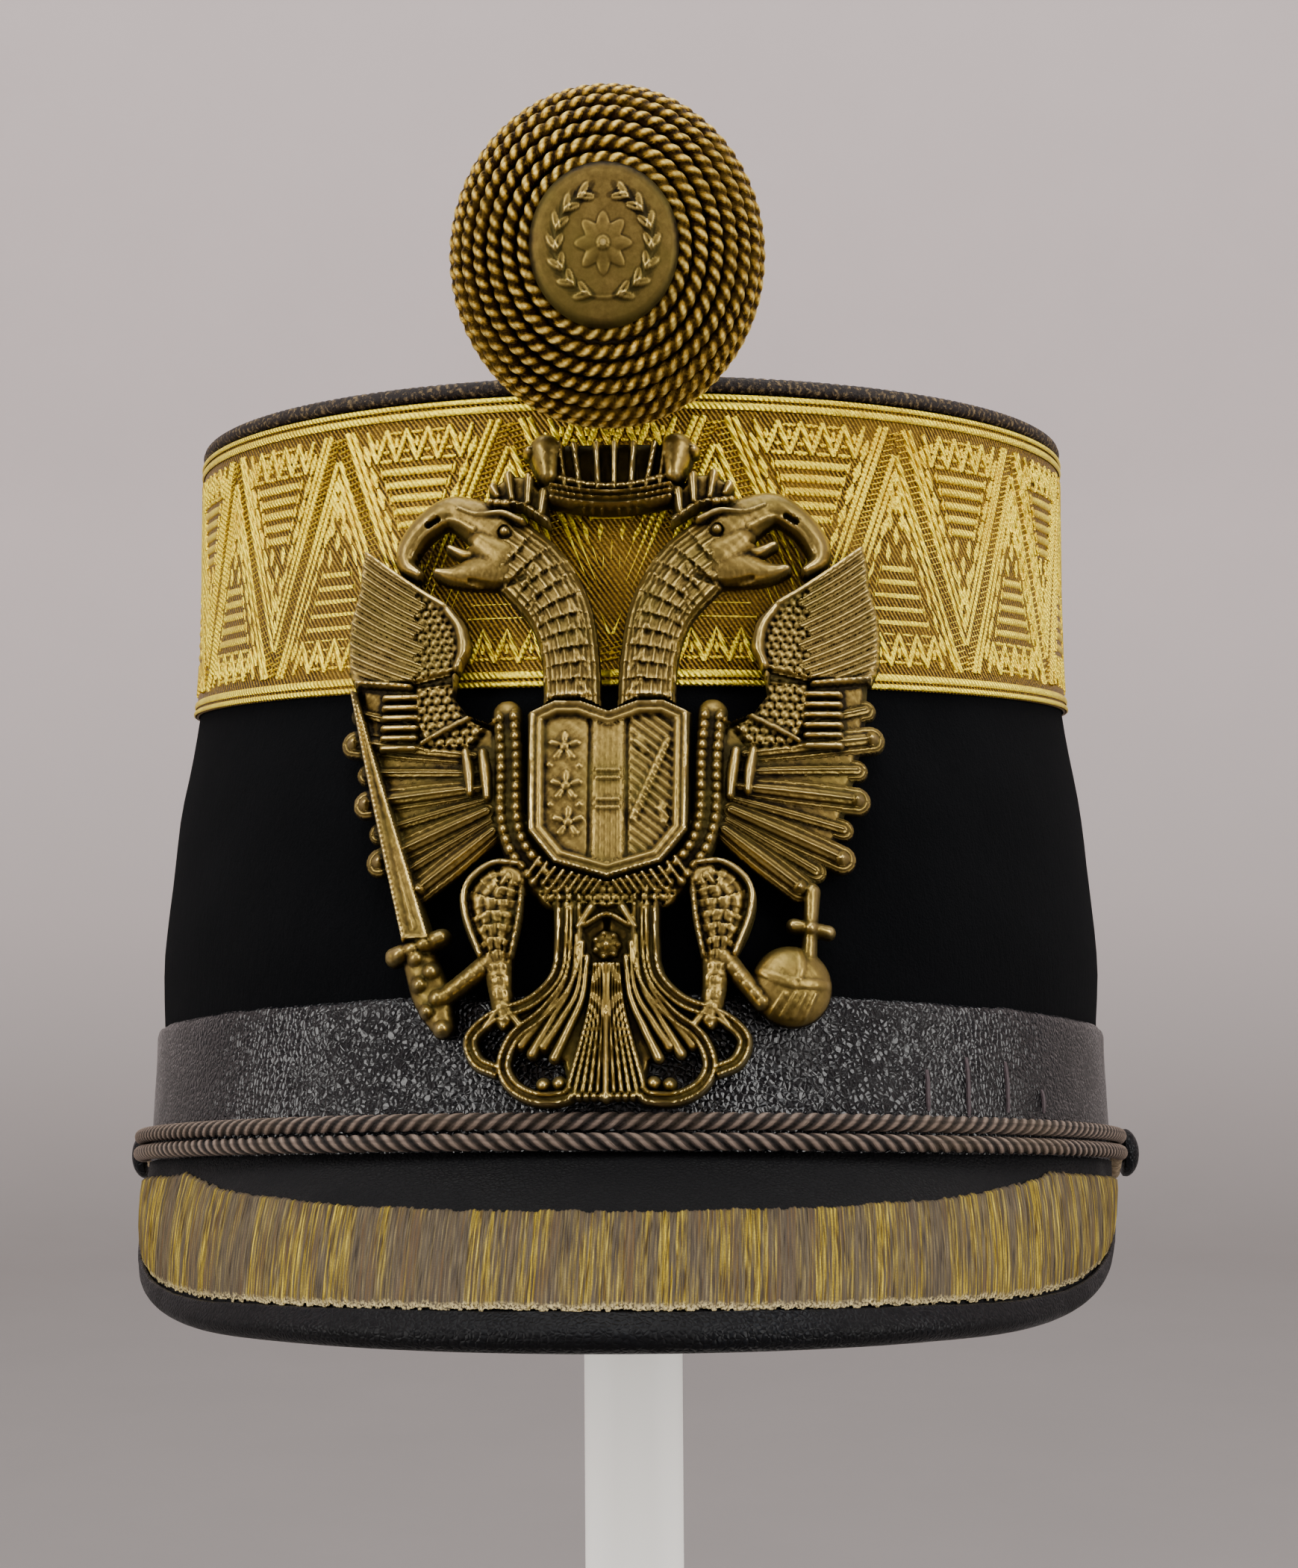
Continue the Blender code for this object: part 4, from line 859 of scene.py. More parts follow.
def make_lace(ground_look, figure_look):
    """A woven ground, and raised figures and border cords on it."""
    angle = ring_angles(256)
    rings = []
    face = SEAT_GAP + LACE_GROUND
    levels = [(share, face - (0.0002 if share in (0.0, 1.0) else 0.0))
              for share in (0.0, 0.02, 0.15, 0.3, 0.45, 0.6, 0.75, 0.9, 0.98, 1.0)]
    for share, lift in levels + [(1.0, SEAT_GAP), (0.0, SEAT_GAP)]:
        rings.append(wall_points_at(angle, wall_height(angle, lift) - LACE_HEIGHT * (1.0 - share), lift))
    rings = np.array(rings)
    round_lace = LACE_REPEATS * LACE_REPEAT
    spread = stacked(angle / (2.0 * math.pi) * round_lace, rings[..., 2] / MILLIMETRE, 0.0)
    ground = Solid().grid(rings, around=True, crest=np.full(rings.shape[:2], 0.25), spread=spread)
    ground.build("lace_ground", ground_look, "lace_band", "gold_lace")

    strokes = Strokes()
    draw_lace(strokes)
    figures = Solid()
    strokes.fill(figures)
    # Border cords, two at each edge
    across = np.linspace(0.0, round_lace, 420, endpoint=False)[:, None]
    rise = np.sin(full_turn(8))
    room = 0.5 * (LACE_THICKNESS - LACE_GROUND)
    for level, width in ((0.55, 0.42), (2.0, 0.60), (45.0, 0.60), (46.45, 0.42)):
        spread = stacked(across, level + width * np.cos(full_turn(8)), 0.0)
        # The crest paints a highlight along each cord's top and shade underneath.
        crest = np.broadcast_to(np.clip(0.5 + 0.6 * rise, 0.0, 1.0), spread.shape[:2])
        ring = lace_points(spread[..., 0], spread[..., 1], LACE_GROUND + room * (0.9 + rise * 1.1))
        figures.grid(ring, around=True, crest=crest, spread=spread)
    figures.build("lace_figures", figure_look, "lace_band", "gold_lace", sharp=60.0)


# Visor
def binding_reach(length):
    cord_room = 1.35 * CORD_DIAMETER + 3.0 * SEAT_GAP
    return np.minimum(BINDING_WIDTH, length - cord_room)


def make_visor_plate(material):
    """A leather visor with a flange under the body's edge."""
    angle = visor_angles(150)
    length = visor_frame(angle)[3]
    flange = wall_points_at(angle, 0.0, -FELT_WALL) - (0.0, 0.0, SEAT_GAP)
    loops = [flange] + [visor_points(angle, share * length, 0.0) for share in np.linspace(0.0, 1.0, 14)]
    for share in (1.0, 0.8, 0.6, 0.45, 0.3, 0.2, 0.12):
        below = visor_points(angle, share * length, -VISOR_THICKNESS)
        below[:, 2] = np.minimum(below[:, 2], -SEAT_GAP - VISOR_THICKNESS * (1.0 + share))
        loops.append(below)
    loops.append(flange - (0.0, 0.0, VISOR_THICKNESS))
    Solid().grid(np.stack(loops, axis=1)).build("visor_leather", material, "visor_plate", "leather")


def make_visor_binding(material):
    """Leather folded over the visor's edge, round-nosed and slightly uneven."""
    angle = visor_angles(260)
    length = visor_frame(angle)[3]
    over = binding_reach(length)
    under = np.minimum(BINDING_UNDER_WIDTH, 0.8 * over)
    thick = BINDING_THICKNESS
    top = SEAT_GAP
    bottom = -VISOR_THICKNESS - SEAT_GAP
    nose = 0.5 * (top - bottom) + thick
    middle = 0.5 * (top + bottom)
    wave = 0.00012 * ripple(22 * angle, 0.0, 5.0)
    rows = [(length - over + wave, top), (length - over + 0.1 * thick + wave, top + 0.6 * thick),
            (length - over + 0.45 * thick + wave, top + 0.93 * thick)]
    rows += [(length - share * over, top + thick + 0.00005 * ripple(40 * angle, 9 * share))
             for share in (0.75, 0.45, 0.18)]
    rows += [(length + nose * math.cos(tilt), middle + nose * math.sin(tilt))
             for tilt in (math.radians(turn) for turn in range(75, -90, -15))]
    rows += [(length - 0.1 * over, bottom - thick), (length - under + 0.5 * thick, bottom - thick),
             (length - under, bottom), (length + SEAT_GAP, bottom), (length + SEAT_GAP, top)]
    loops = [visor_points(angle, distance, lift) for distance, lift in rows]
    Solid().grid(np.stack(loops, axis=1)).build("visor_edge", material, "visor_binding", "leather")


def visor_lace_end():
    """Angle at which the strip has narrowed to a tenth of its width."""
    fine = np.linspace(0.0, VISOR_END_ANGLE, 800)
    length = visor_frame(fine)[3]
    room = length - binding_reach(length) - (CORD_DIAMETER + 2.0 * SEAT_GAP)
    return fine[np.argmax(room < 0.10 * VISOR_LACE_WIDTH) - 1]


def make_visor_lace(material):
    """Threads side by side across the strip, their ends ragged above and below."""
    columns = 1301
    index = np.arange(columns)
    angle = np.linspace(-1.0, 1.0, columns) * visor_lace_end()
    length = visor_frame(angle)[3]
    thread = index // 3
    low = length - binding_reach(length) - SEAT_GAP
    wider = 0.0010 + 0.0075 * np.sin(angle) ** 4
    high = np.maximum(low - VISOR_LACE_WIDTH - wider, CORD_DIAMETER + 2.0 * SEAT_GAP)
    room = np.clip((low - high) / VISOR_LACE_WIDTH, 0.0, 1.0)
    low = low - 0.0007 * room * scatter(thread, 1.0)
    high = high + 0.0006 * room * scatter(thread, 2.0) + 0.0005 * room * (0.5 + 0.5 * ripple(24 * angle))
    ridge = np.where(index % 3 == 1, 1.0, 0.35) * (0.55 + 0.45 * scatter(thread, 3.0))
    arc = arc_length(visor_points(angle, 0.6 * length, 0.0)) / MILLIMETRE
    top = SEAT_GAP + VISOR_LACE_THICKNESS
    # Share of the way down, drop below the strip's face, painted brightness and share of the cream foot
    front = ((0.0, 0.00045, 0.25, 0.0), (0.04, 0.0001, 1.0, 0.0), (0.25, 0.0, 1.0, 0.0), (0.5, 0.0, 1.0, 0.0),
             (0.75, 0.0, 1.0, 0.0), (0.95, 0.0001, 1.0, 0.0), (1.0, 0.0005, 0.25, 1.0))
    rows = [(share, top - drop - 0.00022 * (1.0 - ridge), bright * ridge, foot)
            for share, drop, bright, foot in front]
    rows += [(share, SEAT_GAP, 0.0 * ridge, 0.0) for share in (1.0, 0.5, 0.0)]
    loops, crests, spreads, feet = [], [], [], []
    for share, lift, crest, foot in rows:
        distance = high + (low - high) * share
        loops.append(visor_points(angle, distance, lift))
        crests.append(crest)
        spreads.append(stacked(arc, distance / MILLIMETRE, 0.0))
        feet.append(np.full(len(arc), foot))
    loops, crests, spreads, feet = (np.stack(values, axis=1) for values in (loops, crests, spreads, feet))
    Solid().grid(loops, crest=crests, spread=spreads, foot=feet).build(
        "visor_trim", material, "visor_lace", "visor_lace", sharp=180.0)


# Chin cords and buttons
def cord_route(upper, steps):
    """Centre line of one chin cord, round its button at each end."""
    radius = 0.5 * CORD_DIAMETER
    offset = SEAT_GAP + LEATHER_THICKNESS + SEAT_GAP + radius
    slope = VISOR_DROP / VISOR_REACH
    reach = radius + SEAT_GAP
    lower_height = reach * math.sqrt(1.0 + slope**2) - slope * reach + SEAT_GAP
    height = lower_height + (CORD_DIAMETER + SEAT_GAP if upper else 0.0)
    button_ring = 0.5 * BUTTON_SHANK_DIAMETER + SEAT_GAP + radius
    half_length = BASE_HALF_LENGTH + offset
    leave = 0.5 * math.pi - 2.2 * button_ring / half_length
    middle = wall_points_at(np.linspace(-leave, leave, 29), height, offset)
    turns = np.radians((90.0, 45.0, 0.0, -40.0) if upper else (-110.0, -90.0, -75.0))
    aside = button_ring * np.cos(turns) / half_length
    right = wall_points_at(0.5 * math.pi + aside, BUTTON_HEIGHT + button_ring * np.sin(turns), offset)
    left = right[::-1] * (-1.0, 1.0, 1.0)
    route = curve_through(np.vstack([left, middle, right]), 40)
    arc = arc_length(route)
    even = np.linspace(0.0, arc[-1], steps)
    return stacked(*(np.interp(even, arc, column) for column in route.T))


def make_cord(name, node, upper, material):
    """A cord of three strands, twisted one way above and the other way below, its ends wound with thread."""
    route = cord_route(upper, 1500)
    outward = np.cross(np.gradient(route, axis=0), (0.0, 0.0, 1.0))
    points, crest, spread = rope_rings(route, outward, 0.5 * CORD_DIAMETER, sides=15, strands=3,
                                       pitch=-CORD_PITCH if upper else CORD_PITCH, depth=0.40)
    along = spread[..., 0]
    to_end = np.minimum(along, along[-1] - along)
    whipped = np.clip((13.0 - to_end) / 1.5, 0.0, 1.0)
    Solid().grid(points, crest=crest, spread=spread, whipped=whipped).build(
        name, material, node, "twisted_cord", sharp=180.0)


def oval(half_width, half_height, around, level):
    """Points of an upright-axis oval at a level."""
    return stacked(half_width * np.cos(around), half_height * np.sin(around), level)


def turned(profile, sides):
    """Rings and poles of a turned piece, from radius and height rows that start and end on its axis."""
    rings = [oval(radius, radius, full_turn(sides), height) for radius, height in profile[1:-1]]
    return np.array(rings), (0.0, 0.0, profile[0][1]), (0.0, 0.0, profile[-1][1])


def make_button(name, node, side, material):
    """A domed cap on a short shank, at one side of the body."""
    cap_foot = CORD_DIAMETER + 2.0 * SEAT_GAP
    shank = 0.5 * BUTTON_SHANK_DIAMETER
    cap = 0.5 * BUTTON_DIAMETER
    edge = 0.0004
    profile = [(0.0, 0.0), (shank, 0.0), (shank, cap_foot), (0.90 * cap, cap_foot),
               (0.97 * cap, cap_foot + 0.5 * edge)]
    for tilt in np.radians(range(10, 90, 10)):
        profile.append((cap * math.cos(tilt), cap_foot + edge + (BUTTON_CAP_HEIGHT - edge) * math.sin(tilt)))
    profile.append((0.0, cap_foot + BUTTON_CAP_HEIGHT))
    place = wall_points_at(np.array(side * 0.5 * math.pi), BUTTON_HEIGHT,
                           SEAT_GAP + LEATHER_THICKNESS + SEAT_GAP)

    def set_out(points):
        x, y, z = np.moveaxis(np.asarray(points), -1, 0)
        return place + stacked(side * z, y, -side * x)

    solid = Solid().poled(*(set_out(points) for points in turned(profile, 48)))
    solid.build(name, material, node, "leather")


def make_stitches(material):
    """Short upright mending stitches on the leather, at the wearer's left."""
    solid = Solid()
    turn = full_turn(8)[None, :, None]
    share = np.linspace(0.0, 1.0, 9)
    for across, low, high in ((0.0452, 0.0058, 0.0118), (0.0515, 0.0052, 0.0139), (0.0580, 0.0060, 0.0136),
                              (0.0643, 0.0062, 0.0098)):
        lift = SEAT_GAP + LEATHER_THICKNESS + 0.00030 * np.sin(math.pi * share) ** 0.5 - 0.0003
        angle = np.arcsin(across / (BASE_HALF_WIDTH + SEAT_GAP)) + 0.001 * ripple(5 * share, across * 900)
        centre = wall_points_at(angle, low + (high - low) * share, lift)
        out = wall_outward(angle)[:, None, :]
        side = stacked(np.cos(angle), np.sin(angle), 0.0)[:, None, :]
        solid.grid(centre[:, None, :] + 0.5 * STITCH_THICKNESS * (out * np.sin(turn) + side * np.cos(turn)))
    solid.build("leather_stitches", material, None, "leather")


# Badge tables, in badge units: x, z and radius along a bar, or x and z round an outline or along the
# wing's root and tips. Where a row starts with a single number, that is the bar's rise.
NECK = ((5.3, 57.0, 4.3), (5.8, 66.0, 4.3), (7.6, 73.5, 4.8), (11.6, 79.6, 5.4), (15.6, 83.4, 5.2))
LOWER_BEAK = ((15.5, 81.4, 4.4), (19.6, 80.4, 2.9), (23.2, 79.9, 1.7), (26.2, 80.5, 0.8))
UPPER_BEAK = ((17.5, 86.4, 4.0), (21.2, 89.0, 3.1), (24.8, 90.2, 2.5), (28.6, 88.0, 2.3), (31.0, 84.8, 2.0),
              (31.0, 82.2, 1.4), (29.0, 80.4, 0.8))
TONGUE = ((18.6, 83.2, 1.1), (21.6, 83.0, 1.0), (24.4, 84.4, 0.7))
CHAIN = ((15.0, 57.5, 2.2), (14.4, 50.0, 2.2), (14.2, 42.0, 2.2), (12.8, 37.0, 2.3), (9.5, 32.5, 2.5),
         (4.5, 29.6, 2.6), (-0.5, 28.8, 2.6))
THIGH = ((14.0, 32.5, 3.2), (16.2, 30.0, 4.6), (16.2, 26.5, 4.2), (15.6, 21.5, 2.6), (15.0, 17.0, 1.8),
         (14.3, 12.6, 1.7))
WING_ROOT = ((21.5, 63.0), (20.5, 56.0), (18.5, 46.0), (16.5, 39.5))
WING_TIPS = ((37.8, 84.6), (38.6, 76.0), (38.9, 65.0), (38.4, 54.8), (35.9, 45.0), (33.4, 36.0),
             (27.2, 31.4))
FEATHERS = 13
FEATHER_HALF_WIDTHS = (2.2, 1.7)
FEATHER_INSET = (0.0, 1.2)
WING_FIELD = ((37.6, 84.6), (34.5, 81.5), (30.0, 77.5), (25.5, 74.8), (21.5, 72.5), (20.6, 68.0),
              (22.5, 64.5), (23.0, 60.5), (20.6, 57.2), (16.4, 55.6), (14.5, 50.0), (14.2, 40.0),
              (15.6, 37.6), (21.0, 33.5), (26.5, 31.0), (32.0, 36.0), (35.0, 46.0), (37.5, 56.0),
              (38.4, 66.0), (38.6, 77.0))
PLUMES = ((37.9, 86.0), (33.8, 82.3), (28.8, 78.4), (24.2, 75.2), (21.6, 71.6), (21.2, 67.4), (22.3, 64.2),
          (30.0, 62.9), (38.8, 63.4), (40.2, 66.6), (40.5, 71.0), (40.3, 74.6), (39.0, 79.4), (38.8, 83.4))
SMALL_CROWN = ((8.8, 86.2), (13.4, 89.6), (18.2, 90.2), (18.6, 93.2), (15.6, 95.4), (12.2, 95.0), (9.6, 92.0))
TAIL_FIELD = ((0.0, 31.5), (7.2, 31.0), (7.2, 22.0), (8.6, 17.0), (12.6, 13.9), (15.8, 12.4), (13.2, 11.4),
              (10.6, 9.2), (8.6, 8.8), (7.4, 7.4), (6.0, 6.4), (5.4, 3.8), (5.2, 2.4), (0.0, 2.0))
TAIL_STRANDS = (
    ((6.2, 31.0, 1.5), (6.2, 24.0, 1.3), (6.9, 18.5, 1.2), (10.5, 14.8, 1.2), (15.8, 12.8, 1.2),
     (19.0, 9.8, 1.2), (18.0, 6.6, 1.2), (15.2, 5.2, 1.1)),
    ((4.6, 31.0, 1.5), (4.4, 24.0, 1.3), (5.2, 18.0, 1.3), (8.8, 13.2, 1.3), (12.6, 10.2, 1.3),
     (14.3, 6.3, 1.2), (13.0, 3.2, 1.2), (9.8, 1.5, 1.2), (6.0, 1.5, 1.2), (4.6, 2.4, 1.2)),
)
TAIL_FINGERS = (
    ((5.0, 24.0, 0.6), (5.7, 17.8, 0.7), (8.5, 13.0, 0.85), (11.9, 8.8, 0.95)),
    ((4.2, 24.0, 0.6), (4.8, 17.4, 0.7), (7.4, 12.6, 0.85), (10.3, 7.6, 0.95)),
    ((3.4, 23.0, 0.6), (4.0, 16.4, 0.7), (6.4, 12.0, 0.85), (8.7, 8.6, 0.95)),
    ((2.7, 21.0, 0.6), (3.3, 15.6, 0.7), (5.2, 11.2, 0.8), (7.2, 7.0, 0.9)),
)
SHIELD = ((-12.0, 57.4), (-8.0, 59.3), (-4.0, 59.2), (0.0, 57.6), (4.0, 59.2), (8.0, 59.3),
          (12.0, 57.4), (11.7, 39.0), (7.8, 34.0), (0.0, 31.6), (-7.8, 34.0), (-11.7, 39.0))
CROWN_FIELD = ((-9.5, 91.0), (9.5, 91.0), (12.4, 97.0), (12.4, 99.8), (-12.4, 99.8), (-12.4, 97.0))
CROWN_BAND = ((-8.9, 91.7, 1.8), (-4.5, 90.7, 1.8), (0.0, 90.3, 1.8), (4.5, 90.7, 1.8), (8.9, 91.7, 1.8))
CROWN_LOBE = ((9.4, 94.6, 1.7), (9.9, 98.9, 2.6))
HIP = ((-7.5, 30.5, 2.6), (7.5, 30.5, 2.6))
BLADE = ((-39.6, 62.5), (-38.2, 63.5), (-24.4, 23.5), (-29.2, 23.5))
WING_BONES = (
    (0.78, (37.7, 85.0, 0.5), (33.4, 81.4, 0.6), (28.6, 77.6, 0.7), (24.9, 75.0, 0.8)),
    (0.92, (24.4, 74.2, 0.9), (22.4, 71.2, 1.1), (21.8, 67.6, 1.2), (22.6, 65.0, 0.9)),
    (0.86, (38.4, 64.2, 0.5), (33.6, 63.3, 0.6), (29.8, 62.6, 0.5)),
)
WING_SHOULDER = ((21.6, 63.4), (29.6, 63.0), (29.4, 57.0), (27.0, 52.0), (20.0, 51.5), (17.2, 55.4),
                 (20.8, 58.0))
WING_RIBS = (
    (0.82, (20.8, 51.6, 0.8), (20.2, 48.4, 1.0), (19.9, 45.4, 0.7)),
    (0.82, (18.3, 51.4, 0.8), (17.8, 48.0, 1.0), (17.4, 44.6, 0.7)),
    (0.86, (22.8, 63.6, 0.7), (22.2, 60.4, 0.7), (20.2, 57.6, 0.7), (16.8, 56.0, 0.6)),
)
# Smooth cheek, ringed eye and brow, then the eye's hollow, the nostril and the folds of the beak and cheek
FACE_RAISED = (
    (1.00, (16.2, 82.4, 3.4), (19.4, 84.4, 2.6)),
    (1.06, (15.7, 85.6, 1.75)),
    (1.06, (13.2, 87.2, 0.7), (16.2, 88.6, 0.8), (20.0, 88.6, 0.7), (23.0, 89.9, 0.6)),
)
FACE_BLENDED = (
    (-0.30, (15.7, 85.6, 1.15)),
    (0.34, (15.8, 85.7, 0.75)),
    (-0.30, (26.2, 88.6, 0.5), (27.6, 87.8, 0.5)),
    (0.10, (20.6, 86.4, 0.5), (24.4, 88.2, 0.5), (28.2, 86.2, 0.5), (29.8, 83.4, 0.5)),
    (-0.14, (12.6, 78.2, 0.5), (17.0, 77.6, 0.5), (21.0, 78.6, 0.4)),
)
SMALL_CROWN_BARS = (
    (0.88, (10.4, 88.6, 0.7), (10.0, 91.8, 1.0)), (0.88, (12.4, 90.2, 0.7), (12.2, 94.4, 1.0)),
    (0.88, (14.8, 91.0, 0.7), (15.4, 94.9, 1.0)), (0.88, (17.0, 91.6, 0.7), (17.8, 93.2, 1.0)),
)
# Foot and top of the large crown's bars, across
CROWN_BARS = ((0.5, 0.5), (-1.9, -2.2), (-4.6, -5.6), (-6.8, -7.8), (3.0, 3.4), (5.2, 6.6), (7.2, 8.2))
CROWN_GARLAND = ((-8.0, 94.2, 0.8), (-4.0, 93.0, 0.7), (0.0, 92.6, 0.7), (4.0, 93.0, 0.7), (8.0, 94.2, 0.8))
BODY_FIELD = ((-9.6, 33.6), (9.6, 33.6), (10.6, 31.6), (7.6, 28.2), (0.0, 27.2), (-7.6, 28.2), (-10.6, 31.6))
BODY_GRAINS = ((-11.0, 34.0), (11.0, 34.0), (10.8, 31.4), (7.6, 28.0), (-7.6, 28.0), (-10.8, 31.4))
THIGH_RIB = ((12.4, 34.4, 0.6), (16.4, 34.6, 0.7), (20.0, 31.6, 0.8), (20.0, 27.4, 0.7), (17.8, 21.6, 0.6))
SWORD_CLAW = ((-27.2, 21.4, 1.6), (-25.0, 19.4, 1.5), (-26.6, 17.6, 1.5), (-24.0, 15.6, 1.6),
              (-25.4, 13.8, 1.3), (-23.2, 11.4, 1.5))


def plain_back(along, across):
    return np.sqrt(np.clip(1.0 - across**2, 0.0, 1.0))


def ribbed_back(ribs, depth):
    def back(along, across):
        wave = 0.5 + 0.5 * np.cos(2.0 * math.pi * ribs * across)
        return plain_back(along, across) * (1.0 - depth + depth * wave)
    return back


def beaded_back(pitch, least):
    def back(along, across):
        place = (along / pitch - np.floor(along / pitch) - 0.5) * pitch
        ball = np.sqrt(np.clip(1.0 - (place / (0.62 * pitch)) ** 2, 0.0, 1.0))
        return plain_back(along, across) * (least + (1.0 - least) * ball)
    return back


def scaled_back(pitch, columns, depth):
    """Small overlapping scales, set in staggered rows."""
    def back(along, across):
        row = np.floor(along / pitch)
        within = along / pitch - row
        slot = across * columns * 0.5 + 0.5 * (row % 2)
        side = 2.0 * np.abs(slot - np.round(slot))
        scale = np.clip(1.25 - within - 0.55 * side**2, 0.0, 1.0)
        return plain_back(along, across) * (1.0 - depth + depth * scale)
    return back


def beside(rows, per_span, shift, radius):
    """A bar's route moved sideways, at one radius."""
    rows = curve_through(rows, per_span)
    run = np.gradient(rows[:, :2], axis=0)
    run /= np.linalg.norm(run, axis=1)[:, None]
    return stacked(rows[:, 0] - run[:, 1] * shift, rows[:, 1] + run[:, 0] * shift, radius)


class Relief:
    """A plate with raised forms, held as an inside distance and a rise on a square grid."""

    def __init__(self, step, half_width, height):
        columns = int(math.ceil(half_width / step)) + 1
        rows = int(math.ceil(height / step)) + 2
        self.step = step
        self.side = 1.0
        self.x_line = np.arange(-columns, columns + 1) * step
        self.z_line = np.arange(-1, rows + 1) * step
        self.x, self.z = np.meshgrid(self.x_line, self.z_line, indexing="ij")
        self.inside = np.full(self.x.shape, -1e3)
        self.rise = np.zeros(self.x.shape)
        self.ridge = np.zeros(self.x.shape)
        self.ridged = np.zeros(self.x.shape)

    def window(self, path):
        """The stretch of the grid that a path reaches."""
        margin = path[:, 2].max() + 4.0 * self.step
        lows, highs = path.min(axis=0) - margin, path.max(axis=0) + margin
        return (slice(*np.searchsorted(self.x_line, (lows[0], highs[0]))),
                slice(*np.searchsorted(self.z_line, (lows[1], highs[1]))))

    def stroke(self, rows, rise, back=plain_back, lines=0.0, plate=True, blend=False):
        """A bar along a smooth curve, with its back shaped along and across and fine lines along it.

        It widens the plate or only stands on it, and is laid over what is there or blended into it.
        """
        path = curve_through(rows, 5) if len(rows) > 1 else np.array([rows[0], rows[0]])
        path = path * (self.side, 1.0, 1.0)
        area = self.window(path)
        x, z = self.x[area], self.z[area]
        best = np.full(x.shape, -1e3)
        along = np.zeros(x.shape)
        across = np.ones(x.shape)
        passed = 0.0
        for (x0, z0, r0), (x1, z1, r1) in zip(path[:-1], path[1:]):
            run_x, run_z = x1 - x0, z1 - z0
            run = max(run_x**2 + run_z**2, 1e-9)
            t = np.clip(((x - x0) * run_x + (z - z0) * run_z) / run, 0.0, 1.0)
            off_x, off_z = x - x0 - t * run_x, z - z0 - t * run_z
            away = np.hypot(off_x, off_z)
            radius = r0 + t * (r1 - r0)
            better = radius - away > best
            best = np.where(better, radius - away, best)
            side = np.where(run_x * off_z - run_z * off_x < 0.0, -1.0, 1.0)
            across = np.where(better, side * np.minimum(away / radius, 1.0), across)
            along = np.where(better, passed + t * math.sqrt(run), along)
            passed += math.sqrt(run)
        height = rise * back(along, across)
        if plate:
            self.inside[area] = np.maximum(self.inside[area], best)
        if blend:
            self.rise[area] += np.where(best > 0.0, height, 0.0)
            return
        on_top = (best > 0.0) & (height > self.rise[area])
        self.rise[area] = np.where(on_top, height, self.rise[area])
        self.ridge[area] = np.where(on_top, across * lines, self.ridge[area])
        self.ridged[area] = np.where(on_top, 1.0 if lines else 0.0, self.ridged[area])

    def strokes(self, table, back=plain_back, **options):
        """Several bars; each row holds the rise and then the points."""
        for rise, *rows in table:
            self.stroke(rows, rise, back, **options)

    def both(self, rows, rise, back=plain_back, **options):
        """A bar on each side."""
        for self.side in (1.0, -1.0):
            self.stroke(rows, rise, back, **options)
        self.side = 1.0

    def each_side(self, draw):
        """Draw a form on one side and then its mirror image."""
        for self.side in (1.0, -1.0):
            draw(self)
        self.side = 1.0

    def distance(self, corners):
        """Distance inside an outline, negative outside."""
        corners = np.array(corners, dtype=float)
        x = self.side * self.x
        away = np.full(x.shape, 1e3)
        within = np.zeros(x.shape, dtype=bool)
        for (x0, z0), (x1, z1) in zip(corners, np.roll(corners, -1, axis=0)):
            run_x, run_z = x1 - x0, z1 - z0
            t = np.clip(((x - x0) * run_x + (self.z - z0) * run_z) / (run_x**2 + run_z**2), 0.0, 1.0)
            away = np.minimum(away, np.hypot(x - x0 - t * run_x, self.z - z0 - t * run_z))
            crossing = (z0 > self.z) != (z1 > self.z)
            cut = x0 + (self.z - z0) * run_x / np.where(run_z == 0.0, 1e-9, run_z)
            within ^= crossing & (x < cut)
        return np.where(within, away, -away)

    def field(self, corners, rise, edge=1.0):
        """A flat-topped area with a sloping edge."""
        inside = self.distance(corners)
        self.inside = np.maximum(self.inside, inside)
        height = rise * np.clip(inside / edge, 0.0, 1.0)
        self.ridged = np.where((inside > 0.0) & (height > self.rise), 0.0, self.ridged)
        self.rise = np.where(inside > 0.0, np.maximum(self.rise, height), self.rise)
        return inside

    def pebbled(self, covered, pitch, depth):
        """Cut an area into small round grains, set in staggered rows."""
        row = np.round(self.z / (0.87 * pitch))
        slot = self.x / pitch + 0.5 * (row % 2)
        away = np.hypot((slot - np.round(slot)) * pitch, self.z - row * 0.87 * pitch)
        grain = np.sqrt(np.clip(1.0 - (away / (0.58 * pitch)) ** 2, 0.0, 1.0))
        self.rise = np.where(covered, self.rise - depth * (1.0 - grain), self.rise)

    def kept_cells(self):
        """Cells of the plate, with no two that touch at a corner alone."""
        mean = 0.25 * (self.inside[:-1, :-1] + self.inside[1:, :-1]
                       + self.inside[:-1, 1:] + self.inside[1:, 1:])
        kept = mean > 0.0
        for _ in range(4):
            rising = kept[:-1, :-1] & kept[1:, 1:] & ~kept[1:, :-1] & ~kept[:-1, 1:]
            falling = ~kept[:-1, :-1] & ~kept[1:, 1:] & kept[1:, :-1] & kept[:-1, 1:]
            kept[1:, :-1] |= rising
            kept[:-1, :-1] |= falling
        return kept

    def blurred(self, reach):
        """The rise, averaged over a square."""
        result = self.rise
        for axis in (0, 1):
            total = result.copy()
            for shift in range(1, reach + 1):
                total = total + np.roll(result, shift, axis=axis) + np.roll(result, -shift, axis=axis)
            result = total / (2 * reach + 1)
        return result

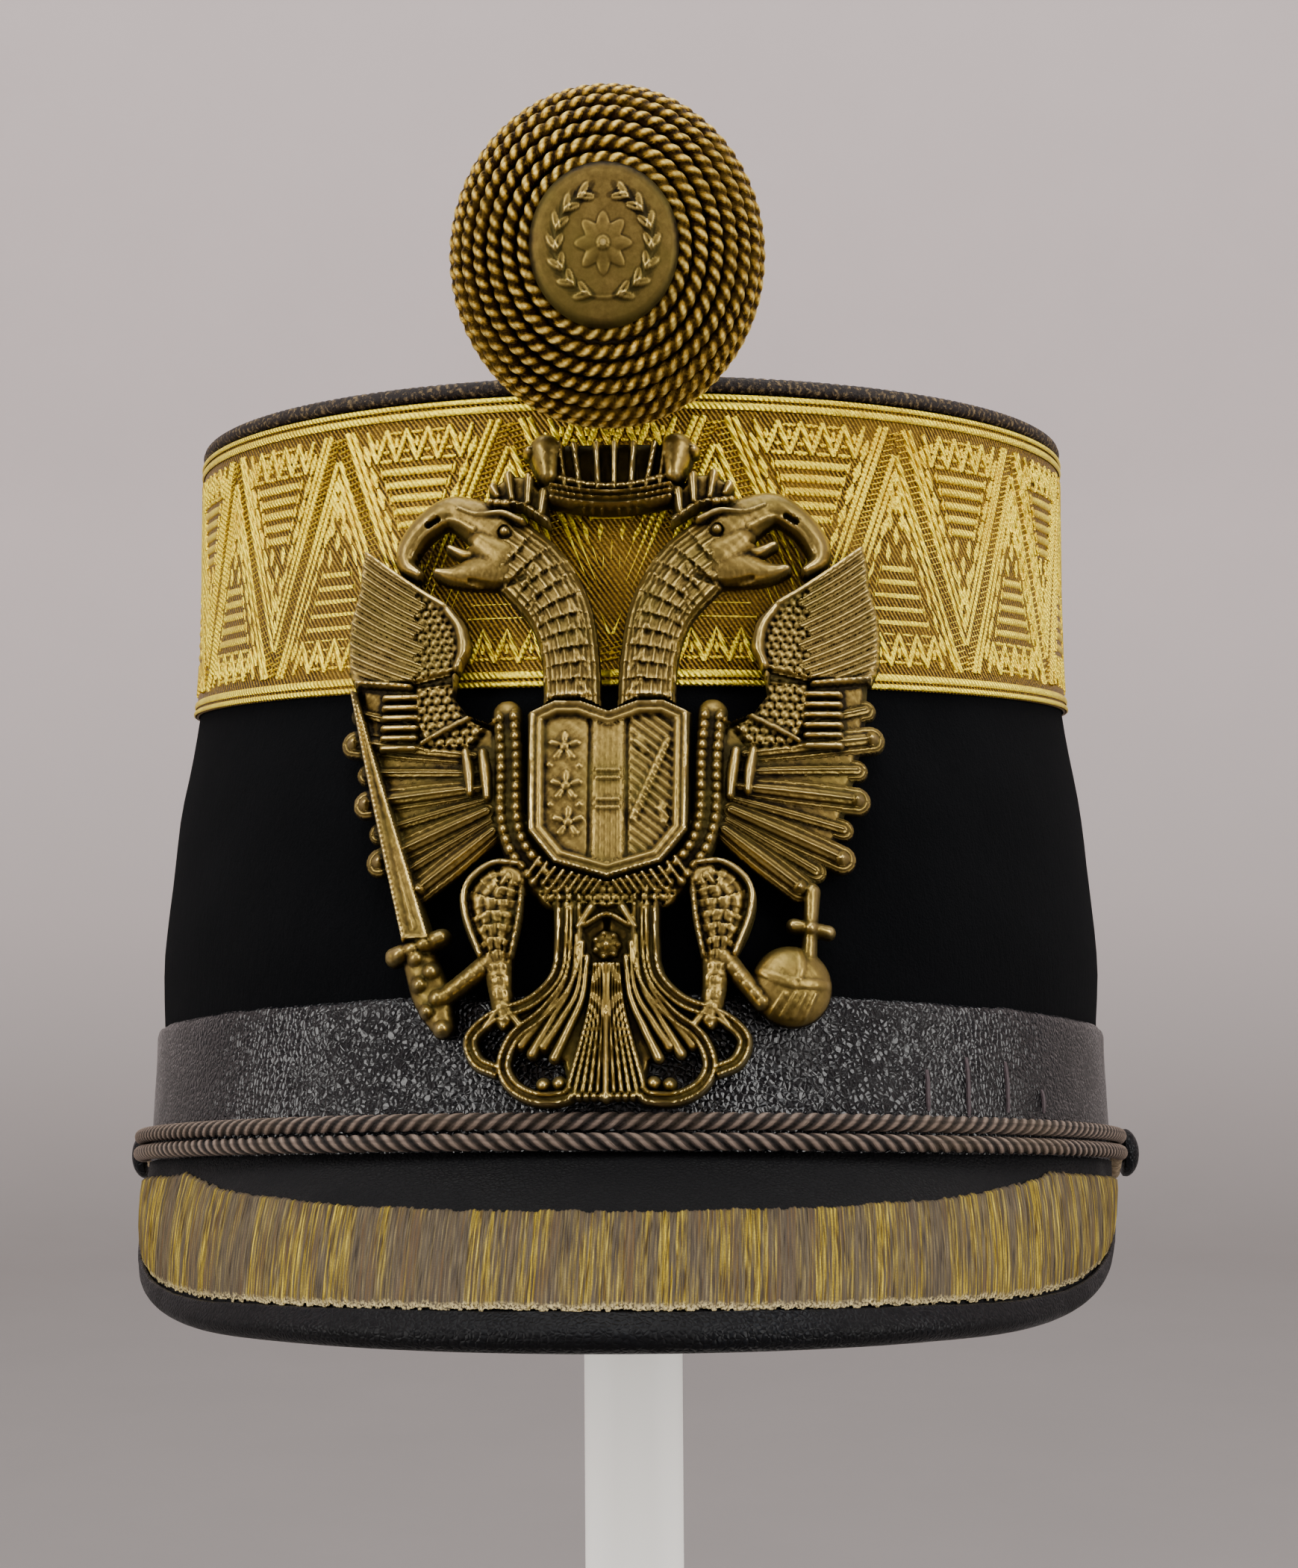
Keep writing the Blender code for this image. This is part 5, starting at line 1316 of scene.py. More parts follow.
    def mesh(self):
        """Points as x, z, rise rows, faces of the front, the back and the walls, and named values."""
        kept = self.kept_cells()
        used = np.zeros(self.x.shape, dtype=int)
        for dx, dz in ((0, 0), (1, 0), (0, 1), (1, 1)):
            used[dx:dx + kept.shape[0], dz:dz + kept.shape[1]] += kept
        edge = (used > 0) & (used < 4)
        slope_x, slope_z = np.gradient(self.inside, self.step)
        steep = np.maximum(slope_x**2 + slope_z**2, 0.25)
        limit = 0.6 * self.step
        x = self.x - np.where(edge, np.clip(self.inside * slope_x / steep, -limit, limit), 0.0)
        z = self.z - np.where(edge, np.clip(self.inside * slope_z / steep, -limit, limit), 0.0)
        rise = np.where(edge, 0.0, self.rise)
        local = self.rise - self.blurred(max(2, int(round(0.9 / self.step))))
        held = used > 0
        count = np.count_nonzero(held)
        number = np.full(self.x.shape, -1)
        number[held] = np.arange(count)
        front = np.stack([x[held], z[held], rise[held]], axis=1)
        i, j = np.nonzero(kept)
        ring = np.stack([number[i, j], number[i + 1, j], number[i + 1, j + 1], number[i, j + 1]], axis=1)
        padded = np.pad(kept, 1)
        walls = []
        for start, (di, dj) in enumerate(((0, -1), (1, 0), (0, 1), (-1, 0))):
            bare = ~padded[i + 1 + di, j + 1 + dj]
            a, b = ring[bare, start], ring[bare, (start + 1) % 4]
            walls.append(np.stack([b, a, a + count, b + count], axis=1))
        faces = np.vstack([ring, ring[:, ::-1] + count, *walls])
        # Colour values: crest brightens what stands above its surroundings; hollow darkens what lies below
        # them, the plate's edges, the low ground and the whole back. Partly patina and rubbing, partly painted
        # shade and highlight.
        low = np.clip(-local[held] * 5.0, 0.0, 1.0) + np.where(edge[held], 0.35, 0.0)
        deep = np.clip(0.35 - self.rise[held], 0.0, 0.35)
        zeros = np.zeros(count)
        values = {"crest": (np.clip(local[held] * 5.0, 0.0, 1.0), zeros),
                  "hollow": (np.clip(low + deep, 0.0, 1.0), zeros + 1.0),
                  "ridge": (self.ridge[held], zeros), "ridged": (self.ridged[held], zeros)}
        values = {name: np.concatenate(pair) for name, pair in values.items()}
        return np.vstack([front, front * (1.0, 1.0, 0.0)]), faces, values


def draw_wing(relief):
    """One spread wing: slanting plumes above, a fan of long feathers below, scales on its shoulder."""
    relief.field(WING_FIELD, 0.26)
    roots = curve_through(WING_ROOT, 8)
    tips = curve_through(WING_TIPS, 8)
    for lesser in (1, 0):
        half_width = FEATHER_HALF_WIDTHS[lesser]
        for index in range(lesser, FEATHERS, 2):
            share = index / (FEATHERS - 1)
            root = roots[int(round(share * (len(roots) - 1)))]
            tip = tips[int(round(share * (len(tips) - 1)))]
            if tip[1] > 64.0:
                continue
            back = (root - tip) / np.linalg.norm(root - tip)
            tip = tip + back * FEATHER_INSET[lesser]
            rows = ((*root, 0.7 * half_width), (*(0.5 * (root + tip)), half_width), (*tip, half_width))
            relief.stroke(rows, 0.60 - 0.14 * lesser, ribbed_back(1.0, 0.34), lines=3.0)
            if not lesser:
                relief.strokes(((0.66, (*tip, 1.35)), (0.80, (*tip, 0.8))), plate=False)
    # Plumes that slant up to the wing's point, each of two ribs
    inside = relief.field(PLUMES, 0.50, 0.7)
    fall = relief.z - (relief.side * relief.x - 30.0) * (0.44 + 0.017 * (relief.z - 64.0))
    quill = np.abs(fall / 1.45 - np.round(fall / 1.45)) * 2.0
    outer = (inside > 0.0) & (relief.side * relief.x > 28.6 + 0.9 * np.sin(1.9 * relief.z))
    relief.rise += np.where(outer, 0.20 * np.sqrt(np.clip(1.0 - quill**2, 0.0, 1.0)), 0.0)
    relief.ridge = np.where(outer, 2.0 * fall / 1.45, relief.ridge)
    relief.ridged = np.where(outer, 1.0, relief.ridged)
    relief.rise += np.where((inside > 0.0) & ~outer, 0.14, 0.0)
    relief.pebbled((inside > 0.6) & ~outer, 1.35, 0.20)
    relief.strokes(WING_BONES, plate=False)
    # Short ribs and grains between the plumes and the long feathers
    shoulder = relief.distance(WING_SHOULDER)
    relief.rise = np.where(shoulder > 0.0, np.maximum(relief.rise, 0.60 * np.clip(shoulder, 0.0, 1.0)),
                           relief.rise)
    relief.ridged = np.where(shoulder > 0.0, 0.0, relief.ridged)
    relief.pebbled(shoulder > 0.2, 1.5, 0.24)
    for level in [61.0 - 1.62 * index for index in range(6)]:
        relief.stroke(((28.6, level - 0.2, 0.62), (33.6, level + 0.2, 0.72)), 0.80, plate=False)
    for index in range(4):
        foot, level = 25.8 - 1.9 * index, 53.4 + 0.9 * index
        relief.stroke(((foot + 1.6, level, 0.55), (foot - 2.0, level + 2.0, 0.6)), 0.82, plate=False)
    relief.strokes(WING_RIBS, plate=False)


def draw_head(relief):
    """Neck of narrow scales, open hooked beak, tongue and eye."""
    relief.stroke(NECK, 0.98, scaled_back(2.5, 6, 0.17), lines=6.0)
    relief.strokes(((0.84, *LOWER_BEAK), (0.92, *UPPER_BEAK), (0.60, *TONGUE)))
    relief.strokes(FACE_RAISED, plate=False)
    relief.strokes(FACE_BLENDED, plate=False, blend=True)
    # Ruffled feathers down the back of the neck
    for index in range(6):
        z = 81.0 - 4.0 * index
        x = 5.6 + 0.020 * max(0.0, z - 60.0) ** 1.6
        relief.strokes(((0.10, (x - 1.0, z + 1.4, 0.5), (x - 3.0 - 0.05 * index, z - 1.4, 0.45)),
                        (0.10, (x + 3.4, z - 1.0, 0.5), (x + 4.4, z - 3.6, 0.4))), plate=False, blend=True)


def draw_shield(relief):
    """A framed shield of three pales; the outer two carry small rosettes and slanting bars."""
    inside = relief.distance(SHIELD)
    relief.inside = np.maximum(relief.inside, inside)
    face = 0.80 * np.clip(inside / 0.7, 0.0, 1.0)
    face += 0.16 * np.exp(-((inside - 0.8) / 0.38) ** 2) + 0.12 * np.exp(-((inside - 2.0) / 0.34) ** 2)
    face -= 0.16 * np.clip((inside - 2.4) / 0.4, 0.0, 1.0)
    relief.ridged = np.where(inside > 0.0, 0.0, relief.ridged)
    relief.rise = np.where(inside > 0.0, face, relief.rise)
    deep = inside > 2.6
    pale = 0.09 * np.clip((2.3 - np.abs(relief.x)) / 0.3, 0.0, 1.0)
    pale -= 0.10 * np.exp(-((np.abs(relief.x) - 2.7) / 0.28) ** 2)
    hatch = 0.045 * np.cos(2.0 * math.pi * (0.8 * relief.x + relief.z) / 1.5) * (relief.x > 3.1)
    relief.rise = np.where(deep, relief.rise + pale + hatch, relief.rise)
    middle = deep & (np.abs(relief.x) < 2.3)
    relief.ridge = np.where(middle, relief.x / 0.8, relief.ridge)
    relief.ridged = np.where(middle, 0.4, relief.ridged)
    options = {"plate": False, "blend": True}
    for level in (48.0, 46.8, 43.6, 42.4):
        relief.stroke(((-1.6, level, 0.36), (1.6, level, 0.36)), 0.10, **options)
    relief.stroke(((3.6, 41.0, 0.65), (8.4, 52.4, 0.65)), 0.15, beaded_back(1.8, 0.5), **options)
    relief.strokes(((0.12, (4.2, 52.6, 0.7), (5.4, 51.0, 0.6)),
                    (0.12, (7.6, 42.4, 0.7), (8.2, 40.6, 0.6))), **options)
    for x, z in ((-6.3, 51.8), (-6.0, 45.8), (-5.6, 40.4)):
        relief.stroke(((x, z, 0.7),), 0.15, **options)
        for aim in [2.0 * math.pi * index / 5 + 0.3 for index in range(5)]:
            ux, uz = math.cos(aim), math.sin(aim)
            petal = ((x + 1.1 * ux, z + 1.1 * uz, 0.45), (x + 1.9 * ux, z + 1.9 * uz, 0.55))
            relief.stroke(petal, 0.13, **options)
    for x, z in ((-8.4, 49.0), (-4.1, 48.8), (-8.2, 43.0), (-4.0, 43.0)):
        relief.stroke(((x, z, 0.5),), 0.12, **options)


def draw_small_crown(relief):
    """A small crown on a head, leaning out from under the large one."""
    relief.field(SMALL_CROWN, 0.60)
    relief.stroke(((9.4, 87.0, 0.9), (13.2, 89.6, 1.0), (18.0, 90.6, 0.9)), 0.96, beaded_back(1.3, 0.65),
                  plate=False)
    relief.strokes(SMALL_CROWN_BARS, plate=False)


def draw_large_crown(relief):
    """A pierced crown: upright bars, a beaded garland, a band of three cords and a lobe at each side."""
    relief.field(CROWN_FIELD, 0.12)
    for foot, top in CROWN_BARS:
        relief.stroke(((foot, 92.2, 0.55), (0.5 * (foot + top), 96.0, 0.5), (top, 99.6, 0.62)), 0.66,
                      plate=False)
    relief.stroke(CROWN_GARLAND, 0.72, beaded_back(1.5, 0.6), plate=False)
    relief.stroke(CROWN_BAND, 0.74)
    for shift, back in ((-0.95, plain_back), (0.05, beaded_back(1.3, 0.75)), (1.0, plain_back)):
        relief.stroke([(x, z + shift, 0.42) for x, z, _ in CROWN_BAND], 0.98, back, plate=False)
    relief.both(CROWN_LOBE, 0.98)
    relief.both(((12.3, 98.6, 1.1),), 0.80)
    # Ribbons that fall from under the large crown
    for x, reach in ((1.6, 85.4), (3.4, 84.0), (5.2, 83.6)):
        relief.both(((0.7 * x, 89.4, 0.45), (x, 87.2, 0.5), (1.25 * x, reach, 0.4)), 0.60, plate=False)


def draw_tail(relief):
    """A ribbed fan between scrolls of parallel wires, with finger-like ends over the openings."""
    relief.each_side(lambda half: half.field(TAIL_FIELD, 0.30, 0.5))
    for strand in TAIL_STRANDS:
        relief.both(strand, 0.62, ribbed_back(0.5, 0.10))
        for shift in (-0.62, 0.55):
            relief.both(beside(strand, 3, shift, 0.50), 0.80, plate=False)
    for finger in TAIL_FINGERS:
        relief.both(finger, 0.72)
    relief.stroke(((0.0, 20.0, 0.35), (0.0, 10.0, 0.6), (0.0, 1.4, 0.7)), 0.90)
    for index in range(1, 6):
        foot = 1.06 * index
        relief.both(((0.34 * index, 20.0, 0.3), (0.50 * index, 13.0, 0.42), (foot, 2.4, 0.60)),
                    0.80 - 0.02 * index)
        relief.both(((foot - 0.5, 1.7, 0.75),), 0.84)
    for point in ((8.7, 3.3, 1.1), (6.5, 3.5, 1.1)):
        relief.both((point,), 0.78)
    # Rosette in a small frame, two leaves above it
    relief.stroke(((-3.2, 25.4, 0.5), (0.0, 27.0, 0.5), (3.2, 25.4, 0.5)), 0.78, plate=False)
    relief.strokes(((0.70, (0.0, 22.6, 2.3)), (0.98, (0.0, 22.6, 1.0))))
    for aim in full_turn(7):
        relief.stroke(((1.6 * math.cos(aim), 22.6 + 1.6 * math.sin(aim), 0.55),), 0.84)
    relief.both(((2.2, 28.0, 0.8), (3.9, 25.2, 0.7)), 0.88, plate=False)


def draw_collar(relief):
    """A grained body, a beaded collar on each side of the shield, and rope-like turns below it."""
    relief.stroke(HIP, 0.62)
    relief.field(BODY_FIELD, 0.66)
    relief.pebbled(relief.distance(BODY_GRAINS) > 0.0, 1.3, 0.22)
    relief.both(CHAIN[:4], 0.45)
    for shift in (-1.1, 1.1):
        relief.both(beside(CHAIN[:5], 4, shift, 0.92), 0.78, beaded_back(1.55, 0.25), plate=False)
    relief.both(CHAIN, 0.40)
    for index in range(9):
        x = 10.4 - 1.15 * index
        z = 34.0 - 2.6 * math.sin(0.5 * math.pi * min(1.0, index / 6.0))
        relief.both(((x + 0.9, z - 1.4, 0.45), (x - 0.9, z + 1.2, 0.5)), 0.82, plate=False)


def draw_legs(relief):
    """Feathered thighs inside a curved rib and a beaded one, and the toes."""
    relief.both(THIGH, 0.84, scaled_back(1.9, 5, 0.24))
    relief.both(THIGH_RIB, 0.92, plate=False)
    relief.both(((12.0, 31.0, 0.5), (12.4, 26.6, 0.6), (13.4, 21.4, 0.5)), 0.88, beaded_back(1.3, 0.5),
                plate=False)
    relief.both(((15.5, 20.4, 2.2), (15.0, 16.4, 1.7), (14.3, 12.6, 1.6)), 0.80, beaded_back(1.1, 0.75))
    for x in (12.0, 14.4, 16.8):
        relief.both(((14.4, 14.4, 0.8), (x, 11.6, 0.8)), 0.78)


def draw_sword(relief):
    """A sword at the wearer's right, gripped by a claw."""
    inside = relief.field(BLADE, 0.84, 0.6)
    relief.rise -= np.where(inside > 0.0, 0.10 * np.exp(-((inside - 1.6) / 0.5) ** 2), 0.0)
    relief.stroke(((-38.9, 62.6, 0.5), (-29.0, 24.2, 0.6)), 1.0, plate=False)
    relief.stroke(((-30.6, 21.8, 1.5), (-27.0, 23.0, 1.4), (-23.6, 24.3, 1.4)), 0.90, beaded_back(1.9, 0.6))
    relief.stroke(((-26.6, 20.5, 2.6), (-25.0, 16.0, 2.8), (-23.2, 11.6, 1.7)), 0.62)
    for knuckle in SWORD_CLAW:
        relief.stroke((knuckle,), 0.92)
    relief.stroke(((-16.0, 21.0, 1.8), (-19.5, 18.4, 1.5), (-23.4, 15.6, 1.4)), 0.80, beaded_back(1.6, 0.75))


def draw_orb(relief):
    """An orb with its hoops and cross at the wearer's left, held by a claw."""
    relief.stroke(((25.8, 17.2, 5.8),), 1.0)
    options = {"plate": False, "blend": True}
    relief.stroke(((20.9, 19.4, 0.7), (25.2, 17.6, 0.8), (30.9, 17.4, 0.7)), 0.09, beaded_back(1.2, 0.6),
                  **options)
    for index in range(4):
        relief.stroke(((24.6 + 1.5 * index, 16.0, 0.32), (22.4 + 1.7 * index, 12.8 - 0.1 * index, 0.32)), 0.07,
                      **options)
    relief.stroke(((26.9, 22.6, 0.6), (27.2, 20.0, 0.6), (26.8, 18.2, 0.5)), 0.08, **options)
    relief.stroke(((16.0, 21.5, 1.8), (18.4, 18.6, 1.5), (21.6, 15.0, 1.5)), 0.85, beaded_back(1.6, 0.75))
    relief.strokes(((0.65, (28.3, 21.5, 1.2), (28.6, 26.0, 1.1), (28.9, 31.0, 1.3)),
                    (0.65, (26.2, 25.9, 1.1), (31.2, 25.1, 1.1)), (0.90, (28.6, 25.5, 1.4))))


def badge_points(flat):
    """Bend badge points round the front of the hat, clear of the leather band."""
    tall = float(wall_height(0.0)) - BADGE_FOOT_RISE - BADGE_TOP_DROP
    unit = tall / BADGE_UNITS
    offset = SEAT_GAP + LEATHER_THICKNESS + BADGE_CLEARANCE + flat[:, 2]
    across = flat[:, 0] * unit
    height = BADGE_FOOT_RISE + flat[:, 1] * unit
    angle = 0.0 * across
    for _ in range(4):
        share = height / wall_height(angle, offset)
        angle = np.arcsin(across / (wall_section(share)[0] + offset))
    return wall_points_at(angle, height, offset)


def make_badge(material):
    """The eagle with its crowns, shield, sword, orb and tail, drawn in badge units and bent to the hat."""
    relief = Relief(BADGE_STEP, BADGE_HALF_WIDTH, BADGE_UNITS)
    relief.each_side(draw_wing)
    draw_tail(relief)
    draw_collar(relief)
    draw_legs(relief)
    relief.each_side(draw_small_crown)
    draw_large_crown(relief)
    relief.each_side(draw_head)
    draw_shield(relief)
    draw_sword(relief)
    draw_orb(relief)
    grain = 0.012 * ripple(3.1 * relief.x, 2.7 * relief.z) * (relief.rise > 0.2)
    relief.rise = np.clip(relief.rise + grain, 0.0, 1.15)
    flat, faces, values = relief.mesh()
    front = np.arange(len(flat)) < len(flat) // 2
    flat[:, 2] = np.where(front, BADGE_PLATE + BADGE_RELIEF * flat[:, 2], 0.0)
    solid = Solid().add(badge_points(flat), faces, **values)
    piece = solid.build("eagle_casting", material, "eagle_badge", "aged_brass", sharp=70.0)
    fewer = piece.modifiers.new("fewer_facets", "DECIMATE")
    fewer.ratio = BADGE_KEEP


# Cockade, in its own frame: X right, Y up, Z forwards
def cockade_place():
    """Middle of the cockade's back, above and before the body's front edge."""
    rim = wall_points(np.array(0.0), 1.0, SEAT_GAP + LACE_THICKNESS)
    return rim + (0.0, -COCKADE_STANDOFF, COCKADE_RISE)


def cockade_set(points):
    """From the cockade's frame to the hat's."""
    turn = 0.5 * math.pi + HAT_TILT + COCKADE_DROOP
    c, s = math.cos(turn), math.sin(turn)
    x, y, z = np.moveaxis(np.asarray(points, dtype=float), -1, 0)
    return cockade_place() + stacked(x, y * c - z * s, y * s + z * c)


def dome_front():
    """Turn of the dome's foremost ring, beside the disc."""
    radius = 0.25 * (COCKADE_WIDTH + COCKADE_HEIGHT)
    seat = (COCKADE_DISC_WIDTH + COCKADE_DISC_HEIGHT) / (COCKADE_WIDTH + COCKADE_HEIGHT)
    return math.acos(seat + 0.5 * COCKADE_ROPE / radius)


def dome_point(turn, inset):
    """Half width, half height and depth of the dome at a turn from its fullest ring."""
    fullest = COCKADE_DEPTH * COCKADE_FULLEST
    front = turn > 0.0
    reach = np.where(front, COCKADE_DEPTH - fullest, fullest)
    bend = np.sin(turn) / np.where(front, math.sin(dome_front()), math.sin(COCKADE_BACK))
    half_width = (0.5 * COCKADE_WIDTH - inset) * np.cos(turn)
    half_height = (0.5 * COCKADE_HEIGHT - inset) * np.cos(turn)
    return half_width, half_height, fullest + reach * bend - inset * np.sin(turn)


def make_cockade(rope_material, core_material):
    """Turns of twisted rope over a dome, and a plain core behind them."""
    radius = 0.5 * COCKADE_ROPE
    fine = np.linspace(-COCKADE_BACK, dome_front(), 400)
    width, _, depth = dome_point(fine, radius)
    arc = arc_length(stacked(width, depth))
    rings = int(round(arc[-1] / (COCKADE_ROPE_SPACING * COCKADE_ROPE))) + 1
    sides = 12
    # Painted shade: the crest fades on each rope's sides, away from its outward face, so the gaps between
    # turns go dark.
    facing = np.clip(1.3 * np.cos(full_turn(sides)) - 0.2, 0.0, 1.0)
    ropes = Solid()
    for index in range(rings):
        turn = np.interp(arc[-1] * index / (rings - 1), arc, fine)
        half_width, half_height, level = dome_point(turn, radius)
        steps = 10 * int(round(2.0 * math.pi * half_width / (0.5 * COCKADE_ROPE_PITCH)))
        around = full_turn(steps) + 0.7 * index
        route = oval(half_width, half_height, around, level)
        outward = oval(math.cos(turn), math.cos(turn), around, math.sin(turn))
        points, crest, spread = rope_rings(route, outward, radius, sides, strands=2,
                                           pitch=-COCKADE_ROPE_PITCH, depth=0.46, closed=True)
        # The sharpened crest paints small highlights on the strands' backs.
        ropes.grid(cockade_set(points), around=True, crest=crest**1.9 * facing, spread=spread)
    ropes.build("cockade_turns", rope_material, "cockade_rope", "gold_bullion", sharp=180.0)

    rings = []
    for turn in np.linspace(-COCKADE_BACK, dome_front(), 12):
        half_width, half_height, level = dome_point(turn, 1.5 * radius)
        rings.append(oval(half_width, half_height, full_turn(72), max(float(level), 0.0002)))
    ends = [(0.0, 0.0, ring[0, 2]) for ring in (rings[0], rings[-1])]
    core = Solid().poled(*(cockade_set(points) for points in (np.array(rings), *ends)))
    core.build("cockade_core", core_material, "cockade_rope", "gold_bullion")


def disc_rise(share, around):
    """Height over the disc: a smooth domed field and a rosette between two leaf sprays."""
    x, y = share * np.cos(around), share * np.sin(around)
    rise = 0.36 * (1.0 - share**24) + 0.36 * np.cos(0.5 * math.pi * share)
    petals = 0.5 + 0.5 * np.cos(8.0 * around)
    blossom = np.clip(1.0 - share / (0.26 + 0.12 * petals), 0.0, 1.0)
    rise = rise + 0.17 * np.sqrt(blossom) + 0.10 * np.sqrt(np.clip(1.0 - (share / 0.09) ** 2, 0.0, 1.0))
    # Leaf sprays that rise on both sides, in pairs along their stems
    spray, half_long, half_wide = 0.64, 0.125, 0.052
    for aim in np.radians(np.arange(-70.0, 63.0, 22.0)):
        for side in (-1.0, 1.0):
            for lean in (-0.55, 0.55):
                tilt = aim + 0.5 * math.pi + lean
                ux, uy = side * math.cos(tilt), math.sin(tilt)
                px = x - side * spray * math.cos(aim) - 0.07 * ux
                py = y - spray * math.sin(aim) - 0.07 * uy
                along, away = px * ux + py * uy, py * ux - px * uy
                leaf = np.clip(1.0 - (along / half_long) ** 2 - (away / half_wide) ** 2, 0.0, 1.0)
                rise = rise + 0.13 * np.sqrt(leaf) * (1.0 - 0.45 * np.exp(-(away / 0.012) ** 2))
    stem = np.exp(-((share - spray) / 0.018) ** 2) * (y < 0.56)
    return rise + 0.05 * stem


def make_disc(material):
    """A raised oval disc in the middle of the cockade."""
    seat = float(dome_point(dome_front(), 0.0)[2]) + SEAT_GAP
    around = full_turn(200)
    shares = np.concatenate([[1.0], np.linspace(1.0, 0.02, 70)])[:, None]
    heights = disc_rise(shares, around)
    heights[0] = 0.0
    rings = oval(0.5 * COCKADE_DISC_WIDTH * shares, 0.5 * COCKADE_DISC_HEIGHT * shares, around,
                 seat + COCKADE_DISC_THICKNESS * heights)
    nearby = sum(np.roll(heights, *shift) for shift in ((4, 1), (-4, 1), (2, 0), (-2, 0))) / 4.0
    local = DISC_CONTRAST * (heights - nearby)
    # Hollow darkens sunken parts and paints a shadow round the disc's edge; crest lifts the raised ornament.
    hollow = np.clip(-local, 0.0, 1.0) + 0.5 * np.clip((shares - 0.88) / 0.12, 0.0, 1.0)
    top = seat + COCKADE_DISC_THICKNESS * float(heights[-1].mean())
    solid = Solid().poled(cockade_set(rings), cockade_set((0.0, 0.0, seat)), cockade_set((0.0, 0.0, top)),
                          crest=np.clip(local, 0.0, 1.0), hollow=hollow)
    solid.build("cockade_plate", material, "cockade_disc", "aged_brass", sharp=60.0)


def make_stem(material):
    """Wedge that carries the cockade on the lace, its edges eased."""
    droop = HAT_TILT + COCKADE_DROOP
    place = cockade_place()
    rim_height = float(wall_height(0.0))
    low, high = rim_height - STEM_BELOW_RIM, rim_height + STEM_ABOVE_RIM
    lace = LACE_THICKNESS + 2.0 * SEAT_GAP

    def wall_at(height):
        return wall_points_at(np.array(0.0), height, lace)[1]

    def back_at(height):
        return place[1] - (height - place[2]) * math.tan(droop) + SEAT_GAP / math.cos(droop)

    outline = np.array(((wall_at(low), low), (wall_at(rim_height), high), (back_at(high), high),
                        (back_at(low), low)))
    centre = outline.mean(axis=0)
    rows = []
    for across, shrink in ((-0.5, 0.86), (-0.47, 0.95), (-0.42, 1.0), (0.42, 1.0), (0.47, 0.95), (0.5, 0.86)):
        y, z = (centre + (outline - centre) * shrink).T
        rows.append(stacked(across * STEM_WIDTH, y, z))
    Solid().grid(rows).build("cockade_block", material, "cockade_stem", "leather", sharp=30.0)


# Stand
def make_turned(name, node, profile, sides, material):
    Solid().poled(*turned(profile, sides)).build(name, material, node, "white_paint", hat=False)


def eased_edge(radius, level, upward):
    """Rows round a quarter-round edge from its face to its side; the face looks up or down."""
    rows = []
    for turn in np.radians(np.linspace(0.0, 90.0, 6)):
        rows.append((radius - STAND_EDGE * (1.0 - math.sin(turn)),
                     level - upward * STAND_EDGE * (1.0 - math.cos(turn))))
    return rows


def make_stand(material):
    """A round base, a post in its socket and a pad on the post, under the lid."""
    lid_floor = HAT_HEIGHT - LID_RECESS
    lid_level = SEAM_HEIGHT + lid_floor * math.cos(HAT_TILT) - TOP_SETBACK * math.sin(HAT_TILT)
    pad_top = lid_level - SEAT_GAP
    pad_foot = pad_top - PAD_THICKNESS
    post = 0.5 * POST_DIAMETER
    socket = post + SEAT_GAP
    wide = 0.5 * BASE_DIAMETER
    top = BASE_THICKNESS
    well = top - BASE_SOCKET
    profile = [(0.0, well), (socket, well), (socket, top - 0.0004), (socket + 0.0004, top),
               (wide - 3.0 * STAND_EDGE, top), *eased_edge(wide, top, 1.0), (wide, 0.0005),
               (wide - 0.0005, 0.0), (0.0, 0.0)]
    make_turned("stand_foot", "stand_base", profile, 128, material)
    low = well + SEAT_GAP
    high = pad_foot + PAD_SOCKET - SEAT_GAP
    profile = [(0.0, low), (post - 0.0006, low), (post, low + 0.0006)]
    profile += [(post, level) for level in np.linspace(0.02, high - 0.002, 24)]
    profile += [(post, high - 0.0006), (post - 0.0006, high), (0.0, high)]
    make_turned("stand_rod", "stand_post", profile, 72, material)
    wide = 0.5 * PAD_DIAMETER
    well = pad_foot + PAD_SOCKET
    profile = [(0.0, well), (socket, well), (socket, pad_foot), *eased_edge(wide, pad_foot, -1.0),
               (wide, pad_top - 0.0005), (wide - 0.0005, pad_top), (0.0, pad_top)]
    make_turned("stand_plate", "stand_pad", profile, 96, material)


